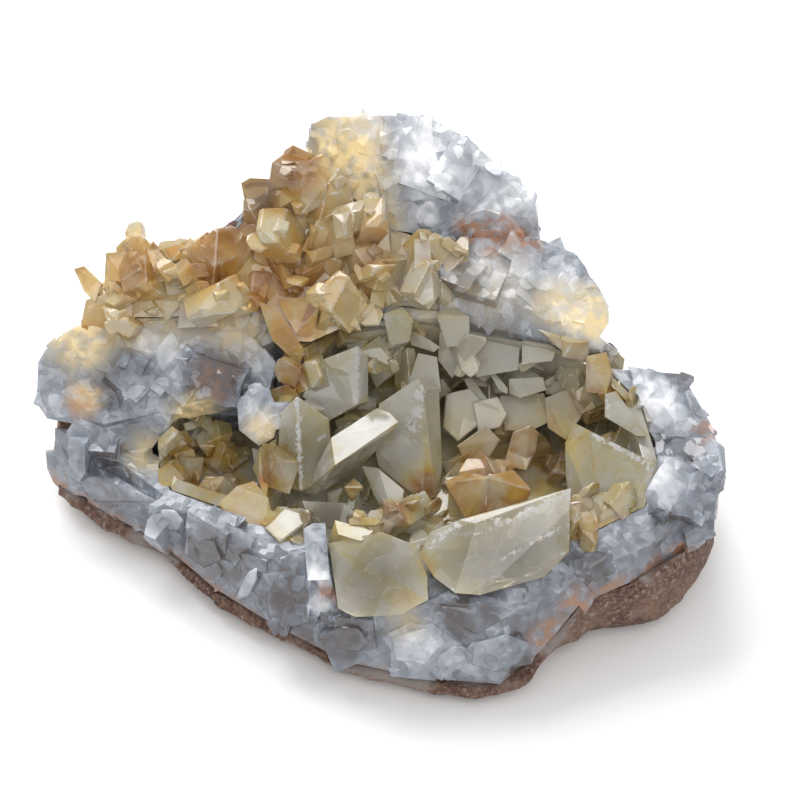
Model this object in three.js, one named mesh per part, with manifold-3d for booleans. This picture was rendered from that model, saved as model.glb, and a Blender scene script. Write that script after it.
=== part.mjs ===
// Celestite crystal cluster: a broken piece of a geode, lying on its rough outer rind.
// A shell of brown host rock carries a thick band of pale blue massive celestite. The band is broken open
// from above, and its hollow is lined with tabular crystals. Iron has stained the crystals that grow over
// the left and back walls amber.
// Millimetres, +Z up. The piece rests on z = 0, and its open side faces up and towards -Y.
import * as THREE from "three";
import { ConvexGeometry } from "three/addons/geometries/ConvexGeometry.js";
import { mergeVertices } from "three/addons/utils/BufferGeometryUtils.js";
import Module from "manifold-3d";

const wasm = await Module();
wasm.setup();

// Driving dimensions.
const PIECE_WIDTH = 171; // across the whole piece, left to right
const PIECE_WIDTH_PX = 684; // the same width in the reference view
const GAP = 0.3; // between two materials that touch
const LINING = 3; // thickness of the crystal crust before its crystals stand up
const FLOOR_UNDERSIDE = 5; // height at which the massive celestite starts above the base of rock

// The reference view: 800 pixels square, from the front, looking down at 45 degrees. A place on the piece
// can be given as the pixel that shows it, with its height above the table or with the surface it lies on.
const MM_PER_PX = PIECE_WIDTH / PIECE_WIDTH_PX;
const VIEW = {
  elevation: THREE.MathUtils.degToRad(45),
  distance: 750,
  target: new THREE.Vector3(5, 16, 30),
  middlePx: 400,
};
const forward = new THREE.Vector3(0, Math.cos(VIEW.elevation), -Math.sin(VIEW.elevation));
const upward = new THREE.Vector3(0, Math.sin(VIEW.elevation), Math.cos(VIEW.elevation));
const towardsEye = forward.clone().negate();
const eye = VIEW.target.clone().addScaledVector(forward, -VIEW.distance);

// The direction in which the eye sees a pixel.
function sightLine(u, v) {
  return forward
    .clone()
    .multiplyScalar(VIEW.distance)
    .add(new THREE.Vector3((u - VIEW.middlePx) * MM_PER_PX, 0, 0))
    .addScaledVector(upward, (VIEW.middlePx - v) * MM_PER_PX)
    .normalize();
}

// The point at that pixel and height.
function seen(u, v, height) {
  const line = sightLine(u, v);
  return eye.clone().addScaledVector(line, (height - eye.z) / line.z);
}

// A repeatable stream of numbers from 0 to 1.
function stream(seed) {
  let state = seed * 2654435761;
  const next = () => {
    state = (state + 0x6d2b79f5) | 0;
    let t = Math.imul(state ^ (state >>> 15), 1 | state);
    t = (t + Math.imul(t ^ (t >>> 7), 61 | t)) ^ t;
    return ((t ^ (t >>> 14)) >>> 0) / 4294967296;
  };
  next.between = (low, high) => low + (high - low) * next();
  return next;
}

// A closed mesh as a solid that can be joined and cut.
function solidOf(geometry) {
  const bare = new THREE.BufferGeometry().setAttribute("position", geometry.getAttribute("position"));
  if (geometry.index) bare.setIndex(geometry.index);
  const merged = mergeVertices(bare, 1e-4);
  return new wasm.Manifold(
    new wasm.Mesh({
      numProp: 3,
      vertProperties: new Float32Array(merged.attributes.position.array),
      triVerts: new Uint32Array(merged.index.array),
    }),
  );
}

const hull = (points) => solidOf(new ConvexGeometry(points));

const middleOf = (points) =>
  points.reduce((sum, p) => sum.add(p), new THREE.Vector3()).divideScalar(points.length);

// The points drawn in towards their middle, or out from it.
function scaled(points, share) {
  const middle = middleOf(points);
  return points.map((p) => middle.clone().lerp(p, share));
}

// The hull of the points, swollen about its middle until every face has moved out by GAP.
function swollen(points) {
  const middle = middleOf(points);
  const position = new ConvexGeometry(points).getAttribute("position");
  const triangle = new THREE.Triangle();
  const plane = new THREE.Plane();
  let nearest = Infinity;
  for (let i = 0; i < position.count; i += 3) {
    triangle.setFromAttributeAndIndices(position, i, i + 1, i + 2);
    if (triangle.getArea() < 1e-3) continue;
    nearest = Math.min(nearest, Math.abs(triangle.getPlane(plane).distanceToPoint(middle)));
  }
  return hull(scaled(points, 1 + GAP / Math.max(nearest, GAP)));
}

// Pairs are joined first, so that each join stays small.
function joined(solids) {
  let left = solids;
  while (left.length > 1) {
    const next = [];
    for (let i = 0; i < left.length; i += 2) {
      next.push(i + 1 < left.length ? left[i].add(left[i + 1]) : left[i]);
    }
    left = next;
  }
  return left[0];
}

const solid = (pieces) => joined(pieces.map(hull));
const room = (pieces) => joined(pieces.map(swollen));

// The largest of a solid's separate bodies.
function mainBody(whole) {
  return whole.decompose().reduce((best, body) => (body.volume() > best.volume() ? body : best));
}

const place = ([u, v, height]) => seen(u, v, height);

// A crystal or a block as it is seen: its corners, and every second one further from the eye and drawn in.
const DRAWN_IN = 0.86;
function faced({ corners, depth }) {
  const near = corners.map(place);
  const far = scaled(near, DRAWN_IN)
    .filter((_, i) => i % 2 === 0)
    .map((p) => p.addScaledVector(forward, depth));
  return [...near, ...far];
}

// A block as deep as it stands: its corners, the slope behind them, and both again at its underside.
const BACK_SLOPE = 8;
function standing({ corners, underside }) {
  const tops = corners.map(place).flatMap((p) => [p, p.clone().addScaledVector(forward, BACK_SLOPE)]);
  return [...tops, ...tops.map((p) => new THREE.Vector3(p.x, p.y, underside))];
}

// Directions for something that stands along axis: along its width and along its thickness.
function directions(axis, roll) {
  const side = new THREE.Vector3(0, 0, 1).cross(axis);
  if (side.lengthSq() < 1e-4) side.set(1, 0, 0);
  side.normalize().applyAxisAngle(axis, THREE.MathUtils.degToRad(roll));
  return [side, axis.clone().cross(side)];
}

const SQUARE = [[-1, -1], [1, -1], [1, 1], [-1, 1]];

// A tabular crystal: a flat four-sided column with a chisel tip that leans to one side.
function tabular({ at, axis, length, width, thickness, roll, chisel, skew }) {
  const [side, across] = directions(axis, roll);
  const point = (x, y, z) =>
    at
      .clone()
      .addScaledVector(side, (x * width) / 2)
      .addScaledVector(across, (y * thickness) / 2)
      .addScaledVector(axis, z * length);
  return [
    ...SQUARE.map(([x, y]) => point(x * 0.85, y * 0.85, 0)),
    ...SQUARE.map(([x, y]) => point(x, y, 1 - chisel * (1 + skew * x))),
    point(-0.6, skew, 1),
    point(0.6, skew, 1 - chisel * Math.abs(skew)),
  ];
}

// A cleavage block of massive celestite: a brick with slanting ends, sunk into the face that it stands on.
function brick({ at, axis, length, width, thickness, roll, skew }) {
  const [side, across] = directions(axis, roll);
  const point = (x, y, z) =>
    at
      .clone()
      .addScaledVector(side, (x * width) / 2)
      .addScaledVector(across, (y * thickness) / 2 + skew * x)
      .addScaledVector(axis, (z * length) / 2 + skew * (x + y));
  return SQUARE.flatMap(([x, y]) => [point(x, y, -1), point(x, y, 1)]);
}

// The skyline of the massive celestite in the reference view, from its left end round to its right end, and
// two corners far below. The stained crystals stand past it.
const SKYLINE = [
  [38, 362], [50, 345], [78, 326], [150, 262], [190, 246], [232, 232], [250, 204], [306, 168], [311, 124],
  [330, 117], [430, 115], [447, 129], [466, 139], [518, 180], [536, 206], [539, 240], [575, 254],
  [590, 279], [606, 303], [609, 322], [599, 338], [625, 357], [650, 369], [680, 374], [696, 396],
  [719, 450], [724, 474], [724, 740], [38, 740],
];

// Everything that the eye sees below the skyline, as one cone.
function skylineCone() {
  const near = 0.7;
  const far = 1.3;
  const shape = new THREE.Shape(
    SKYLINE.map(([u, v]) => new THREE.Vector2(u - VIEW.middlePx, VIEW.middlePx - v)),
  );
  const geometry = new THREE.ExtrudeGeometry(shape, { depth: far - near, bevelEnabled: false });
  const position = geometry.getAttribute("position");
  const point = new THREE.Vector3();
  for (let i = 0; i < position.count; i++) {
    point.fromBufferAttribute(position, i);
    const away = far - point.z;
    const there = eye
      .clone()
      .addScaledVector(forward, VIEW.distance * away)
      .add(new THREE.Vector3(point.x * MM_PER_PX * away, 0, 0))
      .addScaledVector(upward, point.y * MM_PER_PX * away);
    position.setXYZ(i, there.x, there.y, there.z);
  }
  return solidOf(geometry);
}

const spot = (x, y, z) => new THREE.Vector3(x, y, z);

// Stations round the rind, anticlockwise from its left end: its widest point there, and the brow where the
// massive celestite starts.
const RIND = [
  { widest: seen(55, 470, 8), brow: seen(55, 452, 12) },
  { widest: seen(60, 500, 6), brow: seen(63, 487, 9) },
  { widest: seen(101, 527, 5), brow: seen(106, 514, 8) },
  { widest: seen(156, 556, 5), brow: seen(162, 542, 8) },
  { widest: seen(209, 605, 5), brow: seen(216, 590, 8) },
  { widest: seen(280, 644, 4), brow: seen(286, 630, 7) },
  { widest: seen(341, 675, 4), brow: seen(345, 661, 7) },
  { widest: seen(409, 689, 4), brow: seen(411, 677, 7) },
  { widest: seen(464, 705, 3), brow: seen(462, 692, 6) },
  { widest: seen(528, 689, 4), brow: seen(522, 676, 7) },
  { widest: seen(560, 650, 6), brow: seen(550, 628, 14) },
  { widest: seen(598, 632, 6), brow: seen(588, 598, 23) },
  { widest: seen(660, 623, 6), brow: seen(648, 574, 26) },
  { widest: seen(694, 592, 7), brow: seen(690, 548, 28) },
  { widest: seen(714, 548, 9), brow: seen(706, 520, 31) },
  { widest: seen(712, 500, 14), brow: seen(719, 474, 35) },
  { widest: spot(83, 10, 18), brow: seen(702, 420, 39) },
  { widest: spot(76, 28, 16), brow: spot(69, 16, 36) },
  { widest: spot(62, 36, 14), brow: spot(57, 26, 36) },
  { widest: spot(56, 48, 16), brow: spot(47, 43, 48) },
  { widest: spot(40, 69, 24), brow: spot(38, 57, 53) },
  { widest: spot(14, 76, 28), brow: spot(13, 73, 65) },
  { widest: spot(-18, 75, 28), brow: spot(-17, 71, 62) },
  { widest: spot(-40, 69, 26), brow: spot(-35, 60, 53) },
  { widest: spot(-60, 60, 22), brow: spot(-55, 52, 44) },
  { widest: spot(-77, 47, 17), brow: spot(-73, 42, 36) },
  { widest: spot(-82, 29, 12), brow: spot(-80, 26, 30) },
];
const RIND_MIDDLE = [2, 4];
const FOOT_SHARE = 0.9; // the flat base's plan against the widest level's
const SHELL_SHARE = 0.91; // the inside of the shell against its outside

// Inward in plan from the widest points, to a height.
function inward(p, share, z = p.z) {
  const [mx, my] = RIND_MIDDLE;
  return new THREE.Vector3(mx + (p.x - mx) * share, my + (p.y - my) * share, z);
}

// A wedge from the middle out to each pair of neighbouring stations.
function wedges(column, floor, top) {
  const [mx, my] = RIND_MIDDLE;
  return RIND.map((station, i) => [
    new THREE.Vector3(mx, my, floor),
    new THREE.Vector3(mx, my, top),
    ...column(station),
    ...column(RIND[(i + 1) % RIND.length]),
  ]);
}

// The shell of rock before the massive celestite is cut out of it.
const ROUGHNESS = [0.97, 1.03]; // how far the rind's flanks swell between the widest point and the brow
const roughness = stream(31);
for (const station of RIND) {
  const swell = roughness.between(...ROUGHNESS);
  const up = roughness.between(0.35, 0.65);
  station.flank = inward(station.widest.clone().lerp(station.brow, up), swell);
}
const rindWedges = wedges(
  ({ widest, flank, brow }) => [inward(widest, FOOT_SHARE, 0), widest, flank, brow],
  0,
  FLOOR_UNDERSIDE,
);

// What fills the shell: drawn in by the shell's thickness and raised off the base, and the same with room.
const CORE_TOP = 16;
function core(more) {
  const share = SHELL_SHARE + more / 60;
  return wedges(
    ({ widest, brow }) => [
      inward(widest, share * FOOT_SHARE, FLOOR_UNDERSIDE - more),
      inward(widest, share, widest.z + 2),
      inward(brow, share, brow.z + 1 + 2 * more),
    ],
    FLOOR_UNDERSIDE - more,
    CORE_TOP + more,
  );
}

// Upright sections through the broken wall of massive celestite, from its left end along the front to the
// right and back. Each gives the lower edge on the rind, and the outer and the inner edge of the rim.
const WALL = [
  [[55, 474, 10], [55, 428, 23], [128, 436, 24]],
  [[106, 513, 8], [120, 462, 23], [160, 458, 22]],
  [[158, 540, 8], [168, 498, 22], [196, 490, 22]],
  [[214, 588, 8], [222, 534, 24], [246, 520, 23]],
  [[276, 626, 8], [278, 562, 25], [292, 538, 24]],
  [[345, 661, 8], [343, 590, 26], [350, 552, 26]],
  [[420, 678, 8], [425, 602, 28], [428, 574, 27]],
  [[500, 684, 8], [500, 606, 28], [500, 574, 30]],
  [[550, 640, 12], [556, 596, 27], [560, 545, 32]],
  [[580, 604, 22], [590, 570, 29], [592, 530, 34]],
  [[645, 576, 24], [650, 545, 32], [640, 508, 36]],
  [[706, 536, 26], [716, 496, 36], [660, 478, 38]],
  [[714, 520, 24], [725, 468, 39], [655, 440, 40]],
  [[706, 490, 24], [711, 424, 42], [632, 400, 42]],
  [[680, 450, 22], [682, 374, 45], [604, 368, 44]],
];
const WALL_DROP = 12; // how far each stretch of wall reaches down inside from its rim

function wallStretches() {
  const column = ([low, outer, inner]) => {
    const foot = place(inner);
    foot.z -= WALL_DROP;
    return [place(low), place(outer), place(inner), foot];
  };
  return WALL.slice(1).map((section, i) => [...column(WALL[i]), ...column(section)]);
}

// The blocks of massive celestite behind the hollow, each by the corners of its upper faces. Their far
// corners lie past the skyline, which cuts them.
const BLOCKS = {
  rightStep: {
    underside: 28,
    corners: [
      [600, 350, 47], [622, 324, 50], [604, 270, 56], [556, 236, 60], [470, 238, 60], [438, 262, 56],
      [440, 316, 46], [520, 330, 46], [566, 346, 46],
    ],
  },
  top: {
    underside: 30,
    corners: [
      [300, 110, 81], [436, 104, 84], [500, 142, 78], [550, 200, 67], [548, 244, 57], [432, 246, 57],
      [376, 226, 60], [336, 190, 66], [300, 170, 70],
    ],
  },
  backWall: {
    underside: 26,
    corners: [
      [310, 160, 70], [380, 220, 59], [470, 240, 58], [460, 318, 44], [390, 316, 42], [310, 318, 42],
      [270, 250, 54],
    ],
  },
  ridge: {
    underside: 26,
    corners: [
      [306, 166, 70], [256, 196, 64], [190, 244, 57], [170, 300, 47], [262, 346, 39], [330, 322, 41],
      [350, 230, 56],
    ],
  },
  leftShoulder: {
    underside: 26,
    corners: [[204, 246, 56], [100, 290, 50], [76, 322, 45], [120, 340, 42], [240, 350, 40], [262, 330, 42]],
  },
  ledge: {
    underside: 29,
    corners: [
      [28, 362, 41], [40, 338, 45], [76, 318, 46], [170, 322, 45], [246, 332, 43], [276, 362, 39],
      [270, 388, 35], [46, 410, 32], [104, 424, 31], [176, 408, 31], [236, 404, 31],
    ],
  },
};

// Blocks that stand out of the massive celestite, with their broken faces to the eye.
const BROKEN_BLOCKS = {
  blueFan: {
    depth: 9,
    corners: [
      [285, 557, 30], [310, 550, 31], [326, 538, 33], [328, 560, 29], [320, 615, 19], [312, 622, 17],
      [272, 630, 13], [270, 590, 22],
    ],
  },
  underLedge: {
    depth: 14,
    corners: [
      [66, 432, 29], [80, 412, 32], [101, 400, 34], [172, 407, 33], [171, 424, 30], [152, 448, 25],
      [112, 456, 22], [72, 452, 24],
    ],
  },
  ledgeTooth: {
    depth: 12,
    corners: [
      [237, 403, 38], [252, 385, 41], [269, 388, 41], [279, 416, 36], [274, 438, 32], [259, 446, 30],
      [239, 430, 33],
    ],
  },
  darkPatch: {
    depth: 10,
    corners: [[178, 368, 41], [196, 346, 44], [238, 352, 43], [250, 384, 38], [222, 404, 34], [188, 398, 35]],
  },
  leftEnd: {
    depth: 10,
    corners: [[40, 360, 42], [52, 342, 45], [86, 330, 46], [100, 352, 42], [90, 386, 36], [48, 388, 35]],
  },
  rightCheek: {
    depth: 10,
    corners: [[656, 486, 39], [700, 470, 41], [722, 478, 39], [712, 506, 33], [668, 540, 29], [642, 540, 31]],
  },
  rightBrow: {
    depth: 12,
    corners: [[628, 366, 46], [660, 372, 46], [690, 392, 44], [700, 430, 40], [664, 440, 41], [640, 400, 44]],
  },
  lowFront: {
    depth: 9,
    corners: [[432, 604, 27], [520, 594, 28], [548, 622, 20], [532, 664, 12], [470, 676, 8], [430, 650, 14]],
  },
};

// The hollow, and the low chamber that opens off it under the ledge.
const HOLLOW = {
  main: [
    [272, 520, 13], [350, 548, 13], [500, 552, 13], [600, 500, 14], [622, 450, 15], [580, 408, 15],
    [450, 395, 15], [340, 406, 15], [290, 450, 14], [248, 520, 23], [346, 552, 26], [440, 576, 28],
    [510, 572, 30], [592, 532, 34], [644, 506, 36], [660, 470, 39], [640, 404, 42], [604, 368, 44],
    [550, 346, 44], [400, 320, 42], [326, 330, 41], [292, 370, 38], [262, 440, 30],
  ],
  chamber: [
    [160, 466, 22], [172, 490, 22], [206, 502, 22], [262, 520, 22], [178, 486, 12], [220, 498, 12],
    [290, 505, 13], [186, 446, 12], [250, 440, 12], [310, 440, 14], [172, 412, 28], [215, 411, 29],
    [250, 411, 29], [290, 405, 30],
  ],
};
const OPEN_SPACE = 60; // how far the hollow is cleared towards the eye
const GROWTH_SHARE = 0.98; // the crystals' space against the hollow, so that they end on the crust's edge

// A piece of the hollow with the space between it and the eye.
const opened = (points) => [
  ...points,
  ...points.map((p) => p.clone().addScaledVector(towardsEye, OPEN_SPACE)),
];

// The crust lies against the hollow's walls and floor: the hollow, less the hollow raised and drawn in.
const CRUST_SHARE = 0.93;
const crustSpace = (points) => scaled(points, CRUST_SHARE).map((p, i) => p.setZ(points[i].z + LINING));

// The large crystals that are set into the wall round the hollow, each by the corners seen.
const SET_CRYSTALS = {
  rightPlate: {
    depth: 16,
    corners: [
      [575, 423, 40], [565, 443, 37], [566, 478, 31], [574, 520, 26], [605, 545, 28], [640, 530, 31],
      [655, 500, 36], [654, 463, 43], [621, 450, 42], [590, 431, 42],
    ],
  },
  rightUpperPlate: {
    depth: 14,
    corners: [[605, 394, 45], [616, 391, 46], [626, 409, 44], [648, 436, 43], [637, 436, 42], [605, 417, 42]],
  },
  yellowSide: {
    depth: 9,
    corners: [[586, 356, 47], [606, 352, 48], [612, 372, 46], [606, 394, 43], [586, 392, 41]],
  },
  longFront: {
    depth: 12,
    corners: [
      [420, 555, 34], [430, 532, 38], [459, 520, 41], [476, 523, 42], [514, 518, 43], [523, 503, 44],
      [571, 488, 46], [569, 510, 43], [569, 552, 35], [544, 577, 32], [523, 583, 31], [480, 595, 31],
      [455, 593, 31], [434, 577, 32],
    ],
  },
  frontBlock: {
    depth: 12,
    corners: [
      [329, 543, 31], [352, 540, 32], [382, 532, 34], [415, 545, 34], [427, 575, 32], [428, 600, 30],
      [400, 615, 27], [355, 617, 24], [338, 608, 24],
    ],
  },
};

// The other larger crystals of the hollow.
const CAVITY_CRYSTALS = {
  leftPrism: {
    depth: 14,
    corners: [
      [297, 396, 37], [280, 413, 32], [276, 472, 20], [291, 489, 18], [301, 492, 20], [325, 482, 19],
      [333, 465, 22], [329, 419, 32],
    ],
  },
  whiteBlade: {
    depth: 12,
    corners: [
      [331, 438, 36], [377, 408, 36], [390, 413, 36], [398, 422, 36], [396, 428, 35], [335, 465, 35],
      [372, 449, 28], [318, 494, 22], [303, 493, 21], [360, 468, 23],
    ],
  },
  centrePrism: {
    depth: 16,
    corners: [
      [418, 378, 39], [423, 390, 38], [439, 389, 34], [442, 470, 20], [436, 496, 17], [424, 502, 17],
      [404, 491, 17], [379, 467, 21], [374, 446, 25], [379, 404, 32],
    ],
  },
  behindPlate: { depth: 12, corners: [[418, 353, 40], [437, 357, 40], [441, 392, 33], [408, 385, 33]] },
  backPlate: {
    depth: 18,
    corners: [
      [324, 359, 40], [358, 346, 42], [368, 357, 39], [368, 402, 30], [358, 404, 31], [330, 420, 28],
      [302, 396, 33], [308, 385, 35],
    ],
  },
  lowerGrey: {
    depth: 12,
    corners: [[302, 501, 29], [344, 503, 30], [357, 514, 28], [349, 541, 24], [335, 541, 24], [312, 525, 26]],
  },
  orangeTip: {
    depth: 10,
    corners: [[362, 466, 27], [378, 468, 28], [404, 490, 25], [397, 526, 20], [389, 521, 20], [374, 495, 23]],
  },
  smallTriangle: { depth: 6, corners: [[343, 487, 28], [354, 478, 28], [364, 487, 28], [352, 503, 23]] },
  middleFacet: {
    depth: 10,
    corners: [[457, 446, 24], [486, 425, 28], [500, 440, 25], [488, 458, 22], [470, 470, 20]],
  },
  amberFacet: {
    depth: 12,
    corners: [[513, 432, 28], [531, 425, 29], [539, 433, 28], [536, 450, 25], [526, 470, 22], [504, 465, 22]],
  },
  lowFacet: {
    depth: 10,
    corners: [[446, 478, 23], [480, 472, 25], [514, 478, 26], [520, 505, 25], [470, 518, 22]],
  },
  darkFacet: {
    depth: 12,
    corners: [[500, 396, 28], [544, 393, 30], [551, 421, 27], [530, 431, 25], [505, 430, 24]],
  },
  rightFacet: {
    depth: 14,
    corners: [[545, 398, 31], [580, 384, 34], [584, 412, 31], [566, 440, 27], [548, 428, 27]],
  },
  greyPlate: {
    depth: 9,
    corners: [[466, 316, 46], [500, 314, 47], [520, 341, 43], [518, 370, 37], [477, 377, 34], [466, 351, 39]],
  },
  frostedFace: {
    depth: 9,
    corners: [[522, 333, 45], [536, 331, 46], [557, 349, 44], [552, 361, 42], [530, 363, 41], [522, 365, 40]],
  },
  stripBlade: {
    depth: 8,
    corners: [[526, 317, 50], [538, 313, 51], [553, 327, 49], [568, 346, 47], [565, 353, 46], [544, 338, 46]],
  },
  leftGlint: {
    depth: 12,
    corners: [[464, 379, 31], [471, 377, 31], [488, 400, 30], [487, 408, 29], [474, 401, 29]],
  },
  rightGlint: {
    depth: 14,
    corners: [[490, 374, 34], [496, 374, 34], [508, 389, 33], [507, 394, 32], [499, 390, 32]],
  },
  upperGlint: {
    depth: 10,
    corners: [[408, 329, 41], [425, 337, 41], [440, 347, 40], [434, 352, 39], [411, 345, 38]],
  },
  darkPlate: {
    depth: 12,
    corners: [[509, 379, 34], [543, 377, 35], [546, 390, 33], [520, 398, 31], [509, 393, 31]],
  },
  leftBack: {
    depth: 9,
    corners: [[262, 392, 33], [288, 384, 38], [300, 398, 36], [286, 430, 28], [268, 424, 28]],
  },
  orangePoint: {
    depth: 9,
    corners: [[252, 448, 26], [276, 455, 26], [278, 484, 21], [269, 498, 18], [258, 484, 20]],
  },
  amberLump: {
    depth: 11,
    corners: [
      [220, 502, 27], [237, 486, 29], [254, 481, 29], [268, 498, 27], [271, 510, 25], [267, 532, 22],
      [239, 540, 21], [221, 524, 23],
    ],
  },
  backKnobs: {
    depth: 10,
    corners: [[322, 318, 43], [352, 312, 45], [360, 330, 42], [350, 346, 37], [322, 344, 37]],
  },
  backShade: {
    depth: 9,
    corners: [[366, 322, 42], [398, 318, 44], [404, 348, 37], [388, 368, 32], [368, 350, 36]],
  },
  backMiddle: {
    depth: 9,
    corners: [[440, 330, 42], [462, 326, 44], [466, 362, 36], [452, 378, 32], [438, 360, 36]],
  },
};

// The stained crust over the ridge, in convex stretches.
const STAINED_CRUST = {
  high: {
    depth: 8,
    corners: [
      [306, 166, 72], [262, 200, 67], [232, 236, 60], [262, 270, 54], [330, 250, 57], [366, 212, 62],
      [335, 188, 68],
    ],
  },
  left: {
    depth: 8,
    corners: [
      [242, 240, 60], [190, 246, 58], [104, 287, 51], [90, 318, 46], [130, 312, 47], [200, 316, 47],
      [264, 302, 50], [274, 266, 55],
    ],
  },
  low: {
    depth: 8,
    corners: [
      [266, 260, 56], [256, 298, 50], [276, 340, 43], [310, 342, 43], [330, 316, 46], [390, 306, 46],
      [392, 262, 53], [366, 228, 60], [326, 240, 58],
    ],
  },
  hanging: {
    depth: 8,
    corners: [[374, 224, 60], [414, 240, 57], [461, 250, 57], [468, 290, 50], [462, 310, 45], [382, 304, 47]],
  },
};

// The larger stained crystals, each by the corners seen.
const STAINED_CRYSTALS = {
  amberColumn: {
    depth: 9,
    corners: [[367, 210, 64], [388, 221, 62], [394, 300, 48], [378, 290, 50], [364, 236, 60]],
  },
  greenFace: {
    depth: 9,
    corners: [[391, 232, 60], [413, 243, 58], [416, 302, 47], [391, 309, 45], [386, 265, 53]],
  },
  topBlade: {
    depth: 9,
    corners: [[414, 239, 62], [430, 239, 62], [434, 300, 54], [423, 305, 53], [415, 300, 54]],
  },
  greyFace: {
    depth: 9,
    corners: [[431, 248, 59], [461, 250, 58], [469, 290, 51], [464, 311, 46], [433, 309, 46]],
  },
  squarePlate: {
    depth: 8,
    corners: [[324, 211, 65], [364, 211, 65], [366, 242, 58], [338, 243, 57], [326, 235, 59]],
  },
  pinkPlate: {
    depth: 8,
    corners: [[338, 238, 60], [367, 236, 61], [380, 262, 56], [371, 275, 53], [343, 272, 53]],
  },
  lowerPlate: {
    depth: 9,
    corners: [[345, 280, 53], [362, 274, 55], [392, 274, 54], [390, 306, 47], [366, 309, 46], [350, 298, 48]],
  },
  paleCrystal: {
    depth: 9,
    corners: [
      [237, 234, 62], [249, 224, 64], [272, 225, 64], [289, 238, 62], [284, 249, 59], [265, 266, 55],
      [253, 271, 54], [239, 256, 57],
    ],
  },
  leftTip: {
    depth: 6,
    corners: [[74, 269, 57], [84, 266, 57], [102, 283, 54], [95, 303, 50], [84, 291, 52]],
  },
  amberBox: {
    depth: 8,
    corners: [[106, 253, 60], [131, 251, 60], [128, 285, 54], [112, 305, 50], [104, 290, 52]],
  },
  amberBlock: {
    depth: 9,
    corners: [[129, 252, 61], [158, 250, 61], [168, 260, 59], [166, 280, 55], [148, 287, 53], [130, 275, 55]],
  },
  thinTip: { depth: 4, corners: [[121, 242, 62], [127, 241, 62], [139, 254, 60], [126, 256, 59]] },
  smallTip: { depth: 4, corners: [[153, 241, 63], [146, 251, 61], [162, 250, 61]] },
  greyRidge: {
    depth: 8,
    corners: [[179, 238, 61], [162, 249, 59], [190, 240, 61], [200, 252, 58], [170, 262, 57]],
  },
  ridgeKnob: { depth: 6, corners: [[214, 231, 62], [222, 230, 62], [232, 238, 61], [210, 242, 60]] },
  skyBlock: {
    depth: 10,
    corners: [[241, 183, 71], [250, 178, 72], [289, 180, 72], [290, 207, 66], [262, 222, 63], [246, 207, 66]],
  },
  brownKnob: {
    depth: 9,
    corners: [[285, 150, 77], [293, 145, 78], [302, 152, 76], [318, 157, 75], [312, 182, 70], [272, 181, 71]],
  },
  amberPlate: {
    depth: 9,
    corners: [[291, 179, 73], [315, 184, 72], [332, 193, 70], [328, 214, 65], [300, 207, 67]],
  },
  ridgeStep: {
    depth: 9,
    corners: [[258, 209, 65], [292, 206, 66], [293, 226, 62], [262, 226, 61], [244, 226, 62]],
  },
  hangingBlade: {
    depth: 8,
    corners: [[277, 300, 51], [311, 296, 52], [320, 306, 50], [312, 340, 43], [296, 334, 45]],
  },
  hangingPoint: {
    depth: 8,
    corners: [[258, 300, 51], [280, 312, 49], [304, 350, 42], [300, 366, 38], [272, 340, 43]],
  },
  amberTail: { depth: 6, corners: [[206, 248, 60], [222, 243, 61], [216, 264, 57], [204, 282, 53]] },
  yellowEnd: {
    depth: 10,
    corners: [[86, 300, 50], [110, 292, 52], [132, 300, 50], [132, 338, 44], [100, 350, 42], [80, 330, 45]],
  },
  palePoint: {
    depth: 8,
    corners: [[180, 304, 50], [194, 292, 52], [212, 304, 50], [218, 326, 46], [178, 328, 46]],
  },
};

// What grows or breaks out of a surface at pixels drawn from the seed inside convex regions.
const SMALL_CRYSTALS = {
  hollow: {
    seed: 41,
    count: 24,
    size: [9, 16],
    region: [
      [290, 350], [400, 312], [560, 330], [632, 390], [650, 470], [560, 500], [440, 560], [290, 530],
      [240, 470],
    ],
  },
  chamber: {
    seed: 44,
    count: 4,
    size: [6, 11],
    region: [[170, 430], [262, 430], [290, 500], [230, 500], [165, 470]],
  },
  stained: {
    seed: 52,
    count: 16,
    size: [9, 15],
    region: [[96, 262], [250, 192], [330, 170], [395, 240], [392, 300], [300, 338], [110, 322]],
  },
};
const SMALL_BRICKS = {
  leftBand: {
    seed: 61,
    count: 4,
    size: [9, 15],
    region: [[62, 440], [150, 470], [215, 520], [205, 570], [66, 480]],
  },
  frontBand: {
    seed: 62,
    count: 6,
    size: [10, 17],
    region: [[220, 545], [330, 595], [420, 625], [520, 620], [500, 664], [400, 660], [225, 586]],
  },
  rightWall: {
    seed: 63,
    count: 4,
    size: [9, 16],
    region: [[632, 372], [684, 380], [716, 470], [700, 520], [590, 590], [600, 556], [664, 500]],
  },
  topBlock: {
    seed: 64,
    count: 5,
    size: [10, 18],
    region: [[330, 126], [430, 124], [530, 206], [530, 240], [430, 236], [350, 180]],
  },
  step: {
    seed: 65,
    count: 3,
    size: [9, 15],
    region: [[440, 244], [540, 250], [600, 310], [590, 336], [450, 300]],
  },
  ledge: {
    seed: 66,
    count: 4,
    size: [8, 14],
    region: [[50, 350], [160, 330], [262, 350], [240, 400], [56, 400]],
  },
};

// Whether a pixel lies in a convex region, whose corners go clockwise as seen.
function inside(region, u, v) {
  return region.every(([au, av], i) => {
    const [bu, bv] = region[(i + 1) % region.length];
    return (bu - au) * (v - av) - (bv - av) * (u - au) >= 0;
  });
}

// A solid as a mesh with flat faces.
function meshOf(body) {
  const { vertProperties, triVerts } = body.getMesh();
  const geometry = new THREE.BufferGeometry()
    .setAttribute("position", new THREE.BufferAttribute(new Float32Array(vertProperties), 3))
    .setIndex(new THREE.BufferAttribute(new Uint32Array(triVerts), 1))
    .toNonIndexed();
  geometry.computeVertexNormals();
  return new THREE.Mesh(geometry, new THREE.MeshStandardMaterial({ metalness: 0 }));
}

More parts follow.
